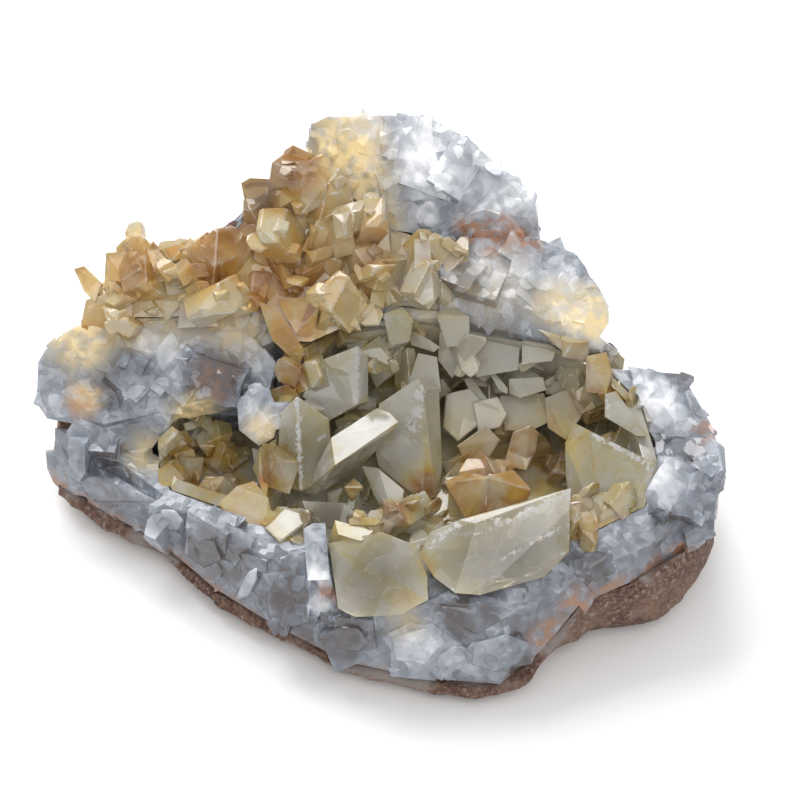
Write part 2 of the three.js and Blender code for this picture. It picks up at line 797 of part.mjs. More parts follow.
// Recipes for pieces that stand on the ground's surface where the eye sees it past the others.
function scattered({ seed, count, size, region }, ground, others) {
  const random = stream(seed);
  const target = meshOf(ground);
  const targets = [target, ...others.map(meshOf)];
  const us = region.map(([u]) => u);
  const vs = region.map(([, v]) => v);
  const ray = new THREE.Raycaster();
  const found = [];
  for (let tries = 0; found.length < count && tries < 60 * count; tries++) {
    const u = random.between(Math.min(...us), Math.max(...us));
    const v = random.between(Math.min(...vs), Math.max(...vs));
    const lean = new THREE.Vector3(random.between(-1, 1), random.between(-1, 1), random.between(-1, 1));
    const length = random.between(...size);
    const width = length * random.between(0.5, 0.9);
    const recipe = {
      length,
      width,
      thickness: width * random.between(0.35, 0.75),
      roll: random.between(0, 180),
      chisel: random.between(0.2, 0.45),
      skew: random.between(-0.5, 0.5),
    };
    if (!inside(region, u, v)) continue;
    ray.set(eye, sightLine(u, v));
    const [hit] = ray.intersectObjects(targets);
    if (!hit || hit.object !== target) continue;
    found.push({ ...recipe, at: hit.point, normal: hit.face.normal.clone(), lean });
  }
  return found;
}

// Small crystals lean from the surface's normal towards the eye, with their roots in the crust.
function smallCrystals(region, ground, others) {
  return scattered(region, ground, others).map(({ at, normal, lean, ...recipe }) => {
    const axis = normal.addScaledVector(towardsEye, 0.5).addScaledVector(lean, 0.6).normalize();
    return tabular({ ...recipe, axis, at: at.addScaledVector(axis, -0.35 * recipe.length) });
  });
}

// Bricks lie half sunk, with a broad face out.
function smallBricks(region, ground, others) {
  return scattered(region, ground, others).map(({ at, normal, lean, ...recipe }) => {
    const axis = normal.clone().addScaledVector(lean, 0.35).normalize();
    const deep = recipe.thickness + 3;
    return brick({
      ...recipe,
      axis,
      length: deep,
      thickness: recipe.length,
      at: at.addScaledVector(axis, 1.6 - deep / 2),
    });
  });
}

const cone = skylineCone();
const every = (recipes, shape) => Object.values(recipes).map(shape);

const blocks = [...wallStretches(), ...every(BLOCKS, standing), ...every(BROKEN_BLOCKS, faced)];
const hollowPieces = every(HOLLOW, (corners) => corners.map(place));
const growthSpace = solid(hollowPieces.map((points) => opened(scaled(points, GROWTH_SHARE))));
const openRoom = room(hollowPieces.map(opened));
const ledgePieces = [standing(BLOCKS.ledge), ...every(BROKEN_BLOCKS, faced)];
const ledge = solid(ledgePieces);

const stainedCrust = solid(every(STAINED_CRUST, faced));
const stainedCrustRoom = room(every(STAINED_CRUST, faced));
const stainedCrystals = solid(every(STAINED_CRYSTALS, faced));
const crust = solid(hollowPieces).subtract(solid(hollowPieces.map(crustSpace)));
const setCrystals = solid(every(SET_CRYSTALS, faced));
const setRoom = room(every(SET_CRYSTALS, faced));
const cavityCrystals = solid(every(CAVITY_CRYSTALS, faced));

const skyline = solid(every(BLOCKS, standing)).intersect(cone);
const body = joined([solid(core(0)), solid(wallStretches()), skyline, solid(every(BROKEN_BLOCKS, faced))]);
const openBody = body.subtract(openRoom.subtract(ledge));
const hiding = [stainedCrystals, stainedCrust, setCrystals, cavityCrystals];
const bricks = every(SMALL_BRICKS, (region) => smallBricks(region, openBody, hiding)).flat();
const bodyRoom = solid(core(GAP)).add(room([...blocks, ...bricks]));

const smallStained = solid(smallCrystals(SMALL_CRYSTALS.stained, stainedCrust, []));
const smallCavity = solid(
  [SMALL_CRYSTALS.hollow, SMALL_CRYSTALS.chamber].flatMap((region) =>
    smallCrystals(region, crust, [openBody, stainedCrust]),
  ),
);

// Where two of them meet, the massive celestite keeps its shape, and the crystals stop short of it.
const stained = mainBody(
  stainedCrust.add(stainedCrystals.add(smallStained).subtract(bodyRoom.subtract(stainedCrust))),
);
const stainedRoom = room([...every(STAINED_CRUST, faced), ...every(STAINED_CRYSTALS, faced)]);
const grown = crust.add(cavityCrystals.add(smallCavity).intersect(growthSpace));
const cavity = mainBody(grown.subtract(room(ledgePieces)).add(setCrystals).subtract(stainedRoom));
const massive = mainBody(
  openBody
    .add(solid(bricks).intersect(cone).subtract(openRoom.subtract(ledge)))
    .subtract(setRoom)
    .subtract(stainedCrustRoom),
);
const rock = mainBody(solid(rindWedges).subtract(joined([bodyRoom, openRoom, stainedRoom, setRoom])));

function part(name, body, look) {
  const mesh = meshOf(body);
  mesh.material.setValues(look);
  mesh.name = name;
  return mesh;
}

const cluster = new THREE.Group();
cluster.add(
  part("host_rock", rock, { color: 0x7d6656, roughness: 0.95 }),
  part("massive_celestite", massive, { color: 0xaab4bd, roughness: 0.5 }),
  part("cavity_crystals", cavity, { color: 0xa7a584, roughness: 0.2 }),
  part("stained_crystals", stained, { color: 0xb58a4c, roughness: 0.3 }),
);

export default cluster;
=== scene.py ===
import math
import random
from itertools import product

import bmesh
import bpy
import numpy as np
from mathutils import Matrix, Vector, noise
from mathutils.bvhtree import BVHTree


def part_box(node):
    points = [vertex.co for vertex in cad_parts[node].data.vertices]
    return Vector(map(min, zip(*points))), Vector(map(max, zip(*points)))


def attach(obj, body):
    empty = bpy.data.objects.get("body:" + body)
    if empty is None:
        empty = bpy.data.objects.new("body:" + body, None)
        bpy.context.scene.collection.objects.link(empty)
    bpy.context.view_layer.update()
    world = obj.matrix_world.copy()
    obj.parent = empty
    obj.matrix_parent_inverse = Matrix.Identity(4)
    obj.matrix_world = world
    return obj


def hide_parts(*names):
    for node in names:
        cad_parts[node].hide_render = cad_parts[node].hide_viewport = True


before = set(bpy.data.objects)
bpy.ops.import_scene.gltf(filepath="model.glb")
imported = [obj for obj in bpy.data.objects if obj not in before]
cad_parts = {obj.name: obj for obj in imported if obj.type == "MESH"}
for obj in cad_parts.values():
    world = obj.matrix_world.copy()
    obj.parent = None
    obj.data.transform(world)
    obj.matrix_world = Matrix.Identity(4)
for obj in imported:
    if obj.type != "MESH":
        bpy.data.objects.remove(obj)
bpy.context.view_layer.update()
print("frame loaded")


# The camera looks down at 45 degrees from the front, and shows 0.25 mm to a pixel at its target.
view = {
    "target": Vector((0.005, 0.016, 0.030)),
    "distance": 0.75,
    "elevation": 45,
    "lens": 135,
    "sensor": 36,
    "near": 0.05,
    "far": 20,
    "usualHeight": 35,  # in millimetres, where a line of sight misses the piece
}
pixels = 800
tilt = math.radians(view["elevation"])
forward = Vector((0, math.cos(tilt), -math.sin(tilt)))
upward = Vector((0, math.sin(tilt), math.cos(tilt)))
eye = view["target"] - forward * view["distance"]
metresPerPixel = view["sensor"] / view["lens"] * view["distance"] / pixels


def makeCamera():
    data = bpy.data.cameras.new("camera")
    data.lens = view["lens"]
    data.sensor_width = view["sensor"]
    data.clip_start = view["near"]
    data.clip_end = view["far"]
    camera = bpy.data.objects.new("camera", data)
    camera.location = eye
    camera.rotation_euler = (math.pi / 2 - tilt, 0, 0)
    bpy.context.scene.collection.objects.link(camera)
    bpy.context.scene.camera = camera


def sightLine(u, v):
    side = (u - pixels / 2) * metresPerPixel
    rise = (pixels / 2 - v) * metresPerPixel
    return forward * view["distance"] + Vector((side, 0, 0)) + upward * rise


# The point that a pixel shows at a height above the floor, which is in millimetres.
def seen(u, v, heightMm):
    line = sightLine(u, v)
    return eye + line * ((heightMm / 1000 - eye.z) / line.z)


# The point of a piece that a pixel shows.
def seenOn(tree, u, v):
    hit = tree.ray_cast(eye, sightLine(u, v).normalized())[0]
    return hit or tree.find_nearest(seen(u, v, view["usualHeight"]))[0]


makeCamera()
print("camera set")


# Mesh helpers.
def linked(name, mesh):
    piece = bpy.data.objects.new(name, mesh)
    bpy.context.scene.collection.objects.link(piece)
    return piece


# The modifiers' result as a plain mesh.
def settled(piece):
    graph = bpy.context.evaluated_depsgraph_get()
    mesh = bpy.data.meshes.new_from_object(piece.evaluated_get(graph))
    piece.modifiers.clear()
    piece.data = mesh
    return piece


def joinedOrCut(piece, other, operation):
    step = piece.modifiers.new("step", "BOOLEAN")
    step.operation = operation
    step.solver = "MANIFOLD"
    step.object = other
    settled(piece)
    bpy.data.objects.remove(other)


# What each face is marked with: frosted white, which on some crystals is a painted highlight, a random tone
# of its crystal, and an iron stain.
marks = ("frost", "tone", "stain")
# The seed of the tones of what is placed one by one.
namedSeed = 9


def marksOf(mesh):
    found = {}
    for mark in marks:
        values = np.zeros(len(mesh.polygons), np.float32)
        if mark in mesh.attributes:
            mesh.attributes[mark].data.foreach_get("value", values)
        found[mark] = values
    return found


def markFaces(mesh, values):
    for mark in marks:
        if mark not in mesh.attributes:
            mesh.attributes.new(mark, "FLOAT", "FACE")
        mesh.attributes[mark].data.foreach_set("value", values[mark])


def cornersOf(mesh):
    corners = np.zeros(len(mesh.vertices) * 3)
    mesh.vertices.foreach_get("co", corners)
    return corners.reshape(-1, 3)


def meshFrom(shape, name):
    mesh = bpy.data.meshes.new(name)
    shape.to_mesh(mesh)
    shape.free()
    return mesh


# A copy of a node's solid with its corners merged.
def mergedCopy(node, name):
    shape = bmesh.new()
    shape.from_mesh(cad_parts[node].data)
    bmesh.ops.remove_doubles(shape, verts=shape.verts, dist=1e-6)
    mesh = meshFrom(shape, name)
    markFaces(mesh, marksOf(mesh))
    return linked(name, mesh)


# Closed shells go on in groups whose boxes don't touch, so that each group is joined in one step.
def joinShells(piece, shells, seed):
    mesh = shells.data
    corners = cornersOf(mesh)
    count = len(corners)
    root = list(range(count))

    def rootOf(i):
        while root[i] != i:
            root[i] = root[root[i]]
            i = root[i]
        return i

    for edge in mesh.edges:
        a, b = (rootOf(i) for i in edge.vertices)
        root[a] = b
    shell = np.unique([rootOf(i) for i in range(count)], return_inverse=True)[1]
    low = np.full((shell.max() + 1, 3), np.inf)
    high = -low
    np.minimum.at(low, shell, corners)
    np.maximum.at(high, shell, corners)
    group = np.full(len(low), -1)
    for i in range(len(low)):
        near = (low < high[i]).all(1) & (high > low[i]).all(1)
        taken = set(group[near].tolist())
        group[i] = next(k for k in range(len(low)) if k not in taken)
    faces = [tuple(face.vertices) for face in mesh.polygons]
    shellOfFace = np.array([shell[face[0]] for face in faces])
    values = marksOf(mesh)
    values["tone"] += np.random.default_rng(seed).random(len(low)).astype(np.float32)[shellOfFace]
    for k in range(group.max() + 1):
        chosen = np.nonzero(group[shellOfFace] == k)[0]
        kept = np.nonzero(group[shell] == k)[0]
        place = np.zeros(count, int)
        place[kept] = np.arange(len(kept))
        part = bpy.data.meshes.new("part")
        part.from_pydata(corners[kept].tolist(), [], [place[list(faces[i])].tolist() for i in chosen])
        markFaces(part, {mark: values[mark][chosen] for mark in marks})
        joinedOrCut(piece, linked("part", part), "UNION")
    bpy.data.objects.remove(shells)
    print(piece.name, len(piece.data.polygons), "faces")


farFromSeams = -4.0
spotReach = 1.2  # where a spot has faded out, in its radii


# How near points are to lines of frost: 1 on a line, 0 at its edge and less further out.
def seamShare(points, seams):
    share = np.full(len(points), farFromSeams)
    for start, end, width in seams:
        along = end - start
        part = np.clip((points - start) @ along / (along @ along), 0, 1)
        away = np.linalg.norm(points - start - part[:, None] * along, axis=1)
        share = np.maximum(share, 1 - away / width)
    return share


# The strongest of the spots at each point.
def spotShare(points, spots):
    share = np.zeros(len(points))
    for middle, radius, amount in spots:
        near = np.clip(spotReach - np.linalg.norm(points - middle, axis=1) / radius, 0, 1)
        part = near * near * (3 - 2 * near) * amount
        share = np.where(np.abs(part) > np.abs(share), part, share)
    return share


# Cuts the edges that a test finds long in two, round by round until none is left.
def divide(shape, areLong, rounds):
    for _ in range(rounds):
        bmesh.ops.triangulate(shape, faces=shape.faces)
        edges = [edge for edge, isLong in zip(shape.edges, areLong(shape.edges)) if isLong]
        if not edges:
            break
        bmesh.ops.subdivide_edges(shape, edges=edges, cuts=1)
    bmesh.ops.triangulate(shape, faces=shape.faces)


def writeValues(mesh, name, values):
    mesh.attributes.new(name, "FLOAT", "POINT").data.foreach_set("value", values)


# A painted piece's longest edge, the one near a seam, the share that counts as near, and a rim's least angle.
painted = {"edge": 0.0035, "seamEdge": 0.0009, "nearSeam": -1.5, "rounds": 7, "rim": math.radians(14)}


# Divides a piece finely, most finely along its lines of frost, and writes the values on its corners.
def paint(piece, spotSets, seams):
    tree = treeOf(piece.data)
    lines = [
        (np.array(seenOn(tree, *start)), np.array(seenOn(tree, *end)), widthMm / 1000)
        for start, end, widthMm in seams.values()
    ]
    shape = bmesh.new()
    shape.from_mesh(piece.data)

    def areLong(edges):
        ends = np.array([[vertex.co[:] for vertex in edge.verts] for edge in edges])
        onSeam = seamShare(ends.mean(1), lines) > painted["nearSeam"]
        wanted = np.where(onSeam, painted["seamEdge"], painted["edge"])
        return np.linalg.norm(ends[:, 0] - ends[:, 1], axis=1) > wanted

    divide(shape, areLong, painted["rounds"])
    # Corners on sharp edges, where the crystals' colour paints the glow of light through thin edges.
    rim = np.zeros(len(shape.verts))
    for edge in shape.edges:
        if edge.calc_face_angle(0) > painted["rim"]:
            for vertex in edge.verts:
                rim[vertex.index] = 1
    shape.to_mesh(piece.data)
    shape.free()
    corners = cornersOf(piece.data)
    values = {"seam": np.clip(seamShare(corners, lines), -1, 1), "rim": rim}
    for name, spots in spotSets.items():
        found = [(np.array(seenOn(tree, u, v)), size / 1000, amount) for u, v, size, amount in spots.values()]
        values[name] = spotShare(corners, found)
    for name, value in values.items():
        writeValues(piece.data, name, value.astype(np.float32))


def boxMesh(low, high):
    shape = bmesh.new()
    bmesh.ops.create_cube(shape, size=1)
    for vertex in shape.verts:
        vertex.co = [a + (b - a) * (x + 0.5) for a, b, x in zip(low, high, vertex.co)]
    mesh = meshFrom(shape, "box")
    markFaces(mesh, marksOf(mesh))
    return mesh


flatAngle = math.radians(3)
bevelAngle = math.radians(20)


# A closed convex shape around points, its sharp edges broken by a narrow frosted bevel.
def hullMesh(name, points, bevel=0.0, frost=0.0, tone=0.0, stain=0.0):
    shape = bmesh.new()
    for point in points:
        shape.verts.new(point)
    made = bmesh.ops.convex_hull(shape, input=shape.verts)
    spare = [v for v in made["geom_interior"] + made["geom_unused"] if isinstance(v, bmesh.types.BMVert)]
    bmesh.ops.delete(shape, geom=list(set(spare)), context="VERTS")
    bmesh.ops.dissolve_limit(shape, angle_limit=flatAngle, verts=shape.verts, edges=shape.edges)
    layers = {mark: shape.faces.layers.float.new(mark) for mark in marks}
    for face in shape.faces:
        face[layers["frost"]] = frost
    if bevel:
        edges = [e for e in shape.edges if e.calc_face_angle(0) > bevelAngle]
        faces = bmesh.ops.bevel(
            shape, geom=edges, offset=bevel, affect="EDGES", segments=1, profile=0.5, clamp_overlap=True
        )["faces"]
        for face in faces:
            face[layers["frost"]] = 1
    for face in shape.faces:
        face[layers["tone"]] = tone
        face[layers["stain"]] = stain
    bmesh.ops.recalc_face_normals(shape, faces=shape.faces)
    return meshFrom(shape, name)


# Several closed meshes as one object.
def gathered(name, meshes):
    corners = []
    faces = []
    values = {mark: [] for mark in marks}
    for mesh in meshes:
        start = len(corners)
        corners += cornersOf(mesh).tolist()
        faces += [[start + i for i in face.vertices] for face in mesh.polygons]
        for mark, found in marksOf(mesh).items():
            values[mark].append(found)
    whole = bpy.data.meshes.new(name)
    whole.from_pydata(corners, [], faces)
    markFaces(whole, {mark: np.concatenate(values[mark]) for mark in marks})
    return linked(name, whole)


# A crystal that is placed one by one: its depth in millimetres, its marks, and the corners of the side that
# the camera sees, each as a pixel and a height in millimetres.
def crystal(depth, *corners, **look):
    return {"depth": depth, "corners": corners, "look": look}


rootSize = 0.86
crystalBevel = 0.00035


# The seen side is carried back to a root that is drawn in and lies deeper.
def rooted(corners, depthMm):
    front = [seen(*corner) for corner in corners]
    middle = sum(front, Vector()) / len(front)
    return front + [middle + (p - middle) * rootSize + forward * depthMm / 1000 for p in front]


def namedCrystals(recipes):
    meshes = []
    for key, recipe in recipes.items():
        points = rooted(recipe["corners"], recipe["depth"])
        meshes.append(hullMesh(key, points, crystalBevel, **recipe["look"]))
    return gathered("named", meshes)


# Node helpers.
def addNode(tree, kind, inputs=None, **settings):
    node = tree.nodes.new(kind)
    for name, value in settings.items():
        setattr(node, name, value)
    for name, value in (inputs or {}).items():
        socket = node.inputs[name]
        if isinstance(value, bpy.types.NodeSocket):
            tree.links.new(value, socket)
        else:
            socket.default_value = value
    return node


def addSocket(tree, name, kind, direction="INPUT", value=None):
    socket = tree.interface.new_socket(name, in_out=direction, socket_type=kind)
    if value is not None:
        socket.default_value = value
    return socket


def calc(tree, operation, *values, clamp=False):
    inputs = dict(enumerate(values))
    return addNode(tree, "ShaderNodeMath", inputs, operation=operation, use_clamp=clamp).outputs[0]


def vectorCalc(tree, operation, *values):
    return addNode(tree, "ShaderNodeVectorMath", dict(enumerate(values)), operation=operation).outputs[0]


def timesVector(tree, vector, share):
    return addNode(tree, "ShaderNodeVectorMath", {0: vector, 3: share}, operation="SCALE").outputs[0]


def remapped(tree, value, low, high, newLow=0.0, newHigh=1.0):
    inputs = {0: value, 1: low, 2: high, 3: newLow, 4: newHigh}
    return addNode(tree, "ShaderNodeMapRange", inputs, interpolation_type="SMOOTHSTEP").outputs[0]


def blended(tree, share, first, second):
    return addNode(tree, "ShaderNodeMix", {0: share, 6: first, 7: second}, data_type="RGBA").outputs[2]


def ramp(tree, value, stops):
    node = addNode(tree, "ShaderNodeValToRGB", {0: value})
    elements = node.color_ramp.elements
    while len(elements) < len(stops):
        elements.new(1.0)
    for element, (place, colour) in zip(elements, stops.items()):
        element.position = place
        element.color = colour
    return node.outputs[0]


# Scattering: shapes from a collection stand on a surface at least a spacing apart, sunk into it.
def makeScatterTree():
    tree = bpy.data.node_groups.new("scatter", "GeometryNodeTree")
    addSocket(tree, "Geometry", "NodeSocketGeometry")
    addSocket(tree, "Shapes", "NodeSocketCollection")
    amounts = {
        "Spacing": 0.004,
        "Density": 40000.0,
        "Smallest": 0.004,
        "Largest": 0.008,
        "Sink": 0.3,
        "Lean": 0.5,
    }
    for name, value in amounts.items():
        addSocket(tree, name, "NodeSocketFloat", value=value)
    addSocket(tree, "Seed", "NodeSocketInt", value=1)
    addSocket(tree, "Material", "NodeSocketMaterial")
    addSocket(tree, "Geometry", "NodeSocketGeometry", "OUTPUT")
    given = addNode(tree, "NodeGroupInput").outputs
    seed = given["Seed"]
    points = {"Distance Min": given["Spacing"], "Density Max": given["Density"], "Seed": seed}
    spread = addNode(tree, "GeometryNodeDistributePointsOnFaces", points, distribute_method="POISSON")
    tree.links.new(given["Geometry"], spread.inputs["Mesh"])
    size = addNode(tree, "FunctionNodeRandomValue", {"Seed": seed}, data_type="FLOAT")
    tree.links.new(given["Smallest"], size.inputs[2])
    tree.links.new(given["Largest"], size.inputs[3])
    depth = calc(tree, "MULTIPLY", size.outputs[1], given["Sink"])
    down = timesVector(tree, timesVector(tree, spread.outputs["Normal"], depth), -1.0)
    sunk = addNode(tree, "GeometryNodeSetPosition", {"Geometry": spread.outputs["Points"], "Offset": down})
    flip = calc(tree, "MULTIPLY", given["Lean"], -1.0)
    least = addNode(tree, "ShaderNodeCombineXYZ", {"X": flip, "Y": flip, "Z": -math.pi})
    most = addNode(tree, "ShaderNodeCombineXYZ", {"X": given["Lean"], "Y": given["Lean"], "Z": math.pi})
    limits = {0: least.outputs[0], 1: most.outputs[0], "Seed": seed}
    turn = addNode(tree, "FunctionNodeRandomValue", limits, data_type="FLOAT_VECTOR")
    angles = addNode(tree, "FunctionNodeEulerToRotation", {0: turn.outputs[0]})
    turns = {"Rotation": spread.outputs["Rotation"], "Rotate By": angles.outputs[0]}
    turned = addNode(tree, "FunctionNodeRotateRotation", turns, rotation_space="LOCAL")
    shapes = addNode(tree, "GeometryNodeCollectionInfo", {0: given["Shapes"], 1: True, 2: True})
    stood = addNode(tree, "GeometryNodeInstanceOnPoints", {"Points": sunk.outputs[0], "Pick Instance": True})
    tree.links.new(shapes.outputs[0], stood.inputs["Instance"])
    tree.links.new(turned.outputs[0], stood.inputs["Rotation"])
    tree.links.new(size.outputs[1], stood.inputs["Scale"])
    solid = addNode(tree, "GeometryNodeRealizeInstances", {"Geometry": stood.outputs[0]})
    coated = addNode(tree, "GeometryNodeSetMaterial", {"Geometry": solid.outputs[0]})
    tree.links.new(given["Material"], coated.inputs["Material"])
    addNode(tree, "NodeGroupOutput", {"Geometry": coated.outputs[0]})
    return tree


scatterTree = makeScatterTree()


# One size of scattered shape: how far apart it stands, its smallest and largest size, the share that is sunk
# into the ground, its lean in radians and its seed.
def scatterSize(*values):
    return dict(zip(("Spacing", "Smallest", "Largest", "Sink", "Lean", "Seed"), values))


# The surface is a mesh; the result is one object with the shapes as closed shells.
def scattered(surface, shapes, material, recipe):
    piece = linked("scattered", surface)
    step = piece.modifiers.new("scatter", "NODES")
    step.node_group = scatterTree
    given = {**recipe, "Shapes": shapes, "Material": material}
    for item in scatterTree.interface.items_tree:
        if item.in_out == "INPUT" and item.name in given:
            step[item.identifier] = given[item.name]
    return settled(piece)


# Part of a piece's surface as the ground for a scatter, in small faces that each pass a test.
def ground(piece, test, longest=0.003, rounds=6):
    shape = bmesh.new()
    shape.from_mesh(piece.data)
    divide(shape, lambda edges: [edge.calc_length() > longest for edge in edges], rounds)
    rest = [face for face in shape.faces if not test(face.calc_center_median(), face.normal)]
    bmesh.ops.delete(shape, geom=rest, context="FACES")
    for mark in marks:
        shape.faces.layers.float.remove(shape.faces.layers.float[mark])
    return meshFrom(shape, "ground")


def treeOf(mesh):
    return BVHTree.FromPolygons(cornersOf(mesh).tolist(), [list(face.vertices) for face in mesh.polygons])


def shapeCollection(name, meshes):
    collection = bpy.data.collections.new(name)
    for i, mesh in enumerate(meshes):
        collection.objects.link(bpy.data.objects.new(f"{name}{i}", mesh))
    return collection


# Cleavage blocks: slanting bricks of about unit size with some corners broken off.
block = {
    "long": (0.9, 1.25),
    "wide": (0.6, 0.95),
    "thick": (0.4, 0.6),
    "slant": (-0.3, 0.3),
    "brokenShare": 0.5,
    "broken": (0.2, 0.45),
    "kinds": 10,
}


def cleavageBlock(seed):
    rng = random.Random(seed)
    size = Vector([rng.uniform(*block[side]) for side in ("long", "wide", "thick")])
    slant = [rng.uniform(*block["slant"]) for _ in range(3)]
    points = []
    for x, y, z in product((-0.5, 0.5), repeat=3):
        ways = [Vector((-2 * x, 0, 0)), Vector((0, -2 * y, 0)), Vector((0, 0, -2 * z))]
        broken = rng.random() < block["brokenShare"]
        for way in ways if broken else [Vector()]:
            points.append(Vector((x, y, z)) + way * rng.uniform(*block["broken"]))
    for p in points:
        p.x += slant[0] * p.y + slant[1] * p.z
        p.y += slant[2] * p.z
    return hullMesh("block", [p * size for p in points])


# Tabular crystals that stand on their root, one unit long, with a chisel tip.
tabular = {
    "wide": (0.24, 0.42),
    "thick": (0.35, 0.75),
    "shoulder": (0.6, 0.8),
    "lean": (-0.12, 0.12),
    "root": 0.85,
    "crest": 0.12,
    "tip": (0.5, 0.15),
    "bevel": 0.02,
    "kinds": 8,
}


def tabularCrystal(seed):
    rng = random.Random(seed)
    wide = rng.uniform(*tabular["wide"])
    thick = wide * rng.uniform(*tabular["thick"])
    shoulder = rng.uniform(*tabular["shoulder"])
    lean = rng.uniform(*tabular["lean"])
    root = tabular["root"]
    tipWide, tipThick = tabular["tip"]
    signs = list(product((-1, 1), repeat=2))
    points = [Vector((x * wide * root, y * thick * root, 0)) for x, y in signs]
    points += [Vector((x * wide, y * thick, shoulder + lean * x)) for x, y in signs]
    points += [Vector((x * wide, 0, shoulder + tabular["crest"] + lean * x)) for x in (-1, 1)]
    points += [Vector((x * wide * tipWide, y * thick * tipThick, 1)) for x, y in signs]
    return hullMesh("crystal", points, tabular["bevel"])


# Shader groups. Each gives a mask, a value or a normal.
def newGroup(name, inputs, outputs):
    tree = bpy.data.node_groups.new(name, "ShaderNodeTree")
    for socket, (kind, value) in inputs.items():
        addSocket(tree, socket, "NodeSocket" + kind, value=value)
    for socket, kind in outputs.items():
        addSocket(tree, socket, "NodeSocket" + kind, "OUTPUT")
    return tree, addNode(tree, "NodeGroupInput").outputs


# Cloudy patches, between 0 and 1.
def makeCloudGroup():
    tree, given = newGroup(
        "clouds",
        {"Vector": ("Vector", None), "Scale": ("Float", 60.0), "From": ("Float", 0.45), "To": ("Float", 0.6)},
        {"Mask": "Float", "Value": "Float"},
    )
    place = {"Vector": given["Vector"], "Scale": given["Scale"], "Detail": 3.0}
    patches = addNode(tree, "ShaderNodeTexNoise", place)
    mask = remapped(tree, patches.outputs[0], given["From"], given["To"])
    addNode(tree, "NodeGroupOutput", {"Mask": mask, "Value": patches.outputs[0]})
    return tree


# Cleavage grains: each has its own tone and its own slant, with cracks between them.
def makeGrainGroup():
    tree, given = newGroup(
        "grains",
        {
            "Vector": ("Vector", None),
            "Normal": ("Vector", None),
            "Scale": ("Float", 200.0),
            "Slant": ("Float", 0.4),
            "Crack": ("Float", 0.05),
        },
        {"Tone": "Float", "Crack": "Float", "Normal": "Vector"},
    )
    place = {"Vector": given["Vector"], "Scale": given["Scale"]}
    cells = addNode(tree, "ShaderNodeTexVoronoi", place, feature="F1")
    edges = addNode(tree, "ShaderNodeTexVoronoi", place, feature="DISTANCE_TO_EDGE")
    centred = vectorCalc(tree, "SUBTRACT", cells.outputs["Color"], Vector((0.5, 0.5, 0.5)))
    slanted = vectorCalc(tree, "ADD", given["Normal"], timesVector(tree, centred, given["Slant"]))
    tone = addNode(tree, "ShaderNodeSeparateXYZ", {0: cells.outputs["Color"]}).outputs[0]
    crack = remapped(tree, edges.outputs["Distance"], given["Crack"], 0.0)
    normal = vectorCalc(tree, "NORMALIZE", slanted)
    addNode(tree, "NodeGroupOutput", {"Tone": tone, "Crack": crack, "Normal": normal})
    return tree


# The object's coordinates, bent a little so that no pattern is straight.
def makeBentGroup():
    inputs = {"Vector": ("Vector", None), "Bend": ("Float", 0.002)}
    tree, given = newGroup("bent", inputs, {"Vector": "Vector"})
    place = {"Vector": given["Vector"], "Scale": 110.0, "Detail": 3.0}
    wander = addNode(tree, "ShaderNodeTexNoise", place).outputs[1]
    centred = vectorCalc(tree, "SUBTRACT", wander, Vector((0.5, 0.5, 0.5)))
    bent = vectorCalc(tree, "ADD", given["Vector"], timesVector(tree, centred, given["Bend"]))
    addNode(tree, "NodeGroupOutput", {"Vector": bent})
    return tree


cloudGroup = makeCloudGroup()
grainGroup = makeGrainGroup()
bentGroup = makeBentGroup()
print("node groups made")


def clouds(tree, place, scale, low, high):
    inputs = {"Vector": place, "Scale": scale, "From": low, "To": high}
    return addNode(tree, "ShaderNodeGroup", inputs, node_tree=cloudGroup).outputs


def grains(tree, place, normal, scale, slant, crack):
    inputs = {"Vector": place, "Normal": normal, "Scale": scale, "Slant": slant, "Crack": crack}
    return addNode(tree, "ShaderNodeGroup", inputs, node_tree=grainGroup).outputs


def bentPlace(tree, place, bend):
    return addNode(tree, "ShaderNodeGroup", {"Vector": place, "Bend": bend}, node_tree=bentGroup).outputs[0]


# A colour from its screen values.
def shade(red, green, blue):
    return tuple((value / 255) ** 2.2 for value in (red, green, blue)) + (1.0,)


refraction = 1.62  # of celestite


def newMaterial(name):
    material = bpy.data.materials.new(name)
    material.use_nodes = True
    tree = material.node_tree
    shader = tree.nodes["Principled BSDF"]
    shader.inputs["IOR"].default_value = refraction
    place = addNode(tree, "ShaderNodeTexCoord").outputs
    return material, tree, shader, place


def attribute(tree, name):
    return addNode(tree, "ShaderNodeAttribute", attribute_name=name).outputs["Fac"]


def absorb(tree, tint, density):
    volume = addNode(tree, "ShaderNodeVolumeAbsorption", {"Color": tint, "Density": density})
    tree.links.new(volume.outputs[0], tree.nodes["Material Output"].inputs["Volume"])


